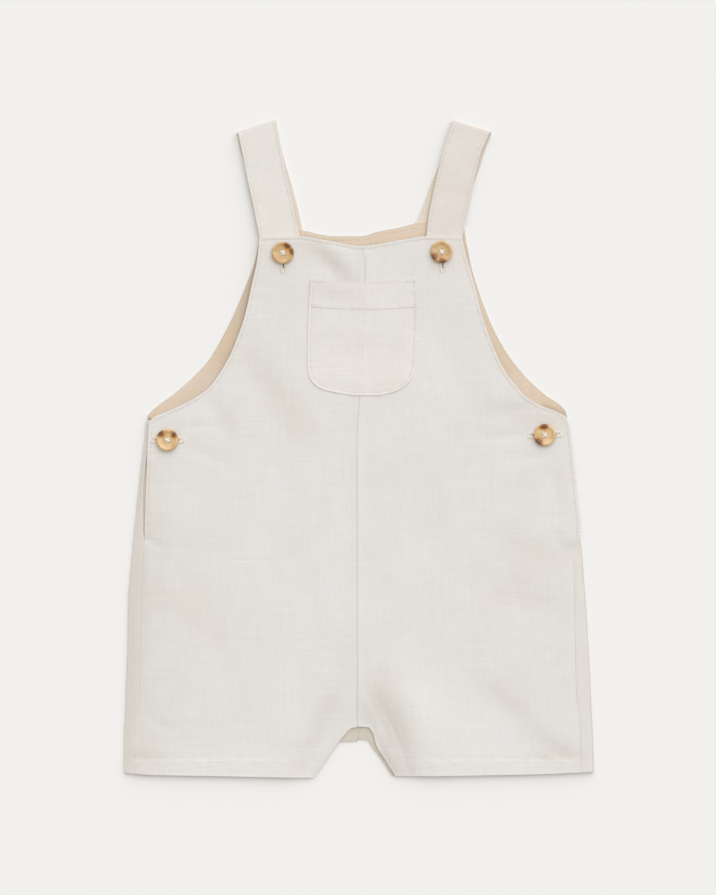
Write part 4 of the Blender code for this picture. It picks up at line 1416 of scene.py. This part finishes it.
def horn(number, x, y, z):
    """The horn of one button, by its number, with its own brown patches. The two at the sides
    are paler."""
    place, finish = material(
        f"horn_{number + 1}", Roughness=0.3, Coat_Weight=0.25, Coat_Roughness=0.15, IOR=1.5
    )
    grain = place.turned(0.4 + number).stretched(90, 520, 200).noise(1.0, 3.0, 0.6)
    cloud = place.noise(260.0, 2.0, 0.5)
    pale = PALER * (number > 1)
    base = linear(206 + pale, 165 + pale, 108 + pale)
    colour = cloud.ease(0.3, 0.7).mixed(base, linear(216 + pale, 186 + pale, 140 + pale))
    wobble = (grain - 0.5) * 0.0034 + (cloud - 0.5) * 0.003
    for patch in PATCHES:
        if patch.button != number:
            continue
        angle = math.radians(patch.direction)
        spot = (x + patch.out * math.cos(angle), y + patch.out * math.sin(angle), z)
        at = [value * MM for value in spot]
        away = place.node("ShaderNodeVectorMath", {"operation": "DISTANCE"}, {0: place, 1: at}, 1)
        reach = patch.width * MM
        colour = (away + wobble).ease(1.5 * reach, 0.7 * reach).mixed(colour, linear(204, 142, 74))
        colour = (away + wobble).ease(1.1 * reach, 0.35 * reach).mixed(colour, linear(120, 76, 40))
    streak = grain.ease(0.5, 0.75) * 0.28
    colour = streak.mixed(colour, linear(170, 122, 70))
    return finish(colour, (grain * 0.3).relief(0.12, 0.05))


def button_mesh(name):
    """A button's mesh round the origin: a turned blank with four holes drilled through."""
    turned = bmesh.new()
    profile = [(BUTTON_RADIUS * row.out, BUTTON_HEIGHT * row.up) for row in BUTTON_SECTION]
    points = [turned.verts.new((out, 0, up)) for out, up in profile]
    edges = [turned.edges.new(pair) for pair in zip(points, points[1:])]
    around = {"axis": (0, 0, 1), "cent": (0, 0, 0), "angle": 2 * math.pi, "steps": BUTTON_SIDES}
    bmesh.ops.spin(turned, geom=points + edges, use_merge=True, **around)
    bmesh.ops.remove_doubles(turned, verts=turned.verts[:], dist=0.001)
    bmesh.ops.recalc_face_normals(turned, faces=turned.faces[:])
    drills = bmesh.new()
    half, radius = HOLE_SPACING / 2, HOLE_WIDTH / 2
    drill = {"radius1": radius, "radius2": radius, "depth": 3 * BUTTON_HEIGHT, "segments": 20}
    for spot in ((half, half, 0), (half, -half, 0), (-half, half, 0), (-half, -half, 0)):
        matrix = Matrix.Translation(spot)
        bmesh.ops.create_cone(drills, cap_ends=True, matrix=matrix, **drill)
    items = []
    for label, shape in ((name + "_blank", turned), (name + "_drills", drills)):
        items.append(bpy.data.objects.new(label, as_mesh(shape, label)))
        bpy.context.scene.collection.objects.link(items[-1])
    cut = items[0].modifiers.new("holes", "BOOLEAN")
    cut.operation = "DIFFERENCE"
    cut.solver = "EXACT"
    cut.object = items[1]
    depsgraph = bpy.context.evaluated_depsgraph_get()
    drilled = bpy.data.meshes.new_from_object(items[0].evaluated_get(depsgraph))
    for item in items:
        bpy.data.objects.remove(item, do_unlink=True)
    drilled.name = name
    drilled.shade_smooth()
    drilled.set_sharp_from_angle(angle=math.radians(40))
    return drilled


def button(number, name, node, x, y, turn):
    """One button, and the thread that holds it."""
    around = np.radians(np.arange(0, 360, 30))
    spots_x = np.append(x + BUTTON_RADIUS * np.cos(around), x)
    spots_y = np.append(y + BUTTON_RADIUS * np.sin(around), y)
    base = float(front_top(spots_x, spots_y).max()) + BUTTON_GAP
    placed = Matrix.Scale(MM, 4) @ Matrix.Translation((x, y, base))
    placed = placed @ Matrix.Rotation(math.radians(turn), 4, "Z")
    data = button_mesh(name)
    data.transform(placed)
    data.materials.clear()
    data.materials.append(horn(number, x, y, base + BUTTON_HEIGHT))
    new_piece(name, data, "horn", [node])

    cross = bmesh.new()
    rest = BUTTON_HEIGHT * BUTTON_SECTION[0].up
    size = Matrix.Diagonal((HOLE_SPACING / math.sqrt(2) + 0.5, STRAND_WIDTH, STRAND_HEIGHT, 1))
    for diagonal, lift in ARMS:
        for strand in (-1, 0, 1):
            up = Matrix.Translation((0, 0, rest + lift - SIDE_STRAND_DROP * abs(strand)))
            arm = Matrix.Rotation(math.radians(diagonal), 4, "Z")
            matrix = placed @ up @ arm @ Matrix.Translation((0, strand * STRAND_PITCH, 0)) @ size
            bmesh.ops.create_uvsphere(cross, u_segments=16, v_segments=8, radius=1, matrix=matrix)
    thread = name + "_thread"
    new_piece(thread, as_mesh(cross, thread, cream_thread), "linen")


for number, row in enumerate(BUTTONS):
    button(number, *row)

# ---------------------------------------------------------------- the floor, light and camera
# A plain pale surface, an even room, and one broad soft light from the upper right. The camera
# looks straight down.

PHOTO_HEIGHT = 895
MM_PER_PIXEL = 0.68
LENS = 100.0
SENSOR = 36.0
CAMERA_X = -0.68
CAMERA_Y = 1.02
CLOTH_LEVEL = 3.0
FLOOR_HALF = 3.0
FLOOR_COLOUR = (0.893, 0.885, 0.869, 1)
ROOM_LIGHT = 0.53
ROOM_COLOUR = (1.0, 0.97, 0.90, 1)
SUN_STRENGTH = 2.31
SUN_COLOUR = (1.0, 1.03, 1.10)
SUN_ANGLE = 88.0
TO_SUN = Vector((0.85, 1.9, 1.65))

ground = bmesh.new()
bmesh.ops.create_grid(ground, x_segments=1, y_segments=1, size=FLOOR_HALF)
floor_place, finish_floor = material("pale_floor", Roughness=1.0, Specular_IOR_Level=0.0)
pale_floor = finish_floor(floor_place.noise(40.0).mixed(FLOOR_COLOUR, FLOOR_COLOUR))
floor = bpy.data.objects.new("floor", as_mesh(ground, "floor", pale_floor))
bpy.context.scene.collection.objects.link(floor)

room = bpy.data.worlds.new("room")
room.use_nodes = True
room.node_tree.nodes["Background"].inputs["Color"].default_value = ROOM_COLOUR
room.node_tree.nodes["Background"].inputs["Strength"].default_value = ROOM_LIGHT
bpy.context.scene.world = room

sun_data = bpy.data.lights.new("soft_light", "SUN")
sun_data.energy = SUN_STRENGTH
sun_data.color = SUN_COLOUR
sun_data.angle = math.radians(SUN_ANGLE)
sun = bpy.data.objects.new("soft_light", sun_data)
sun.rotation_euler = TO_SUN.to_track_quat("Z", "Y").to_euler()
bpy.context.scene.collection.objects.link(sun)

camera_data = bpy.data.cameras.new("camera")
camera_data.lens = LENS
camera_data.sensor_width = SENSOR
camera_data.clip_end = 20.0
camera = bpy.data.objects.new("camera", camera_data)
distance = PHOTO_HEIGHT * MM_PER_PIXEL * LENS / SENSOR
camera.location = (CAMERA_X * MM, CAMERA_Y * MM, (distance + CLOTH_LEVEL) * MM)
bpy.context.scene.collection.objects.link(camera)
bpy.context.scene.camera = camera
bpy.context.scene.view_settings.view_transform = "Standard"
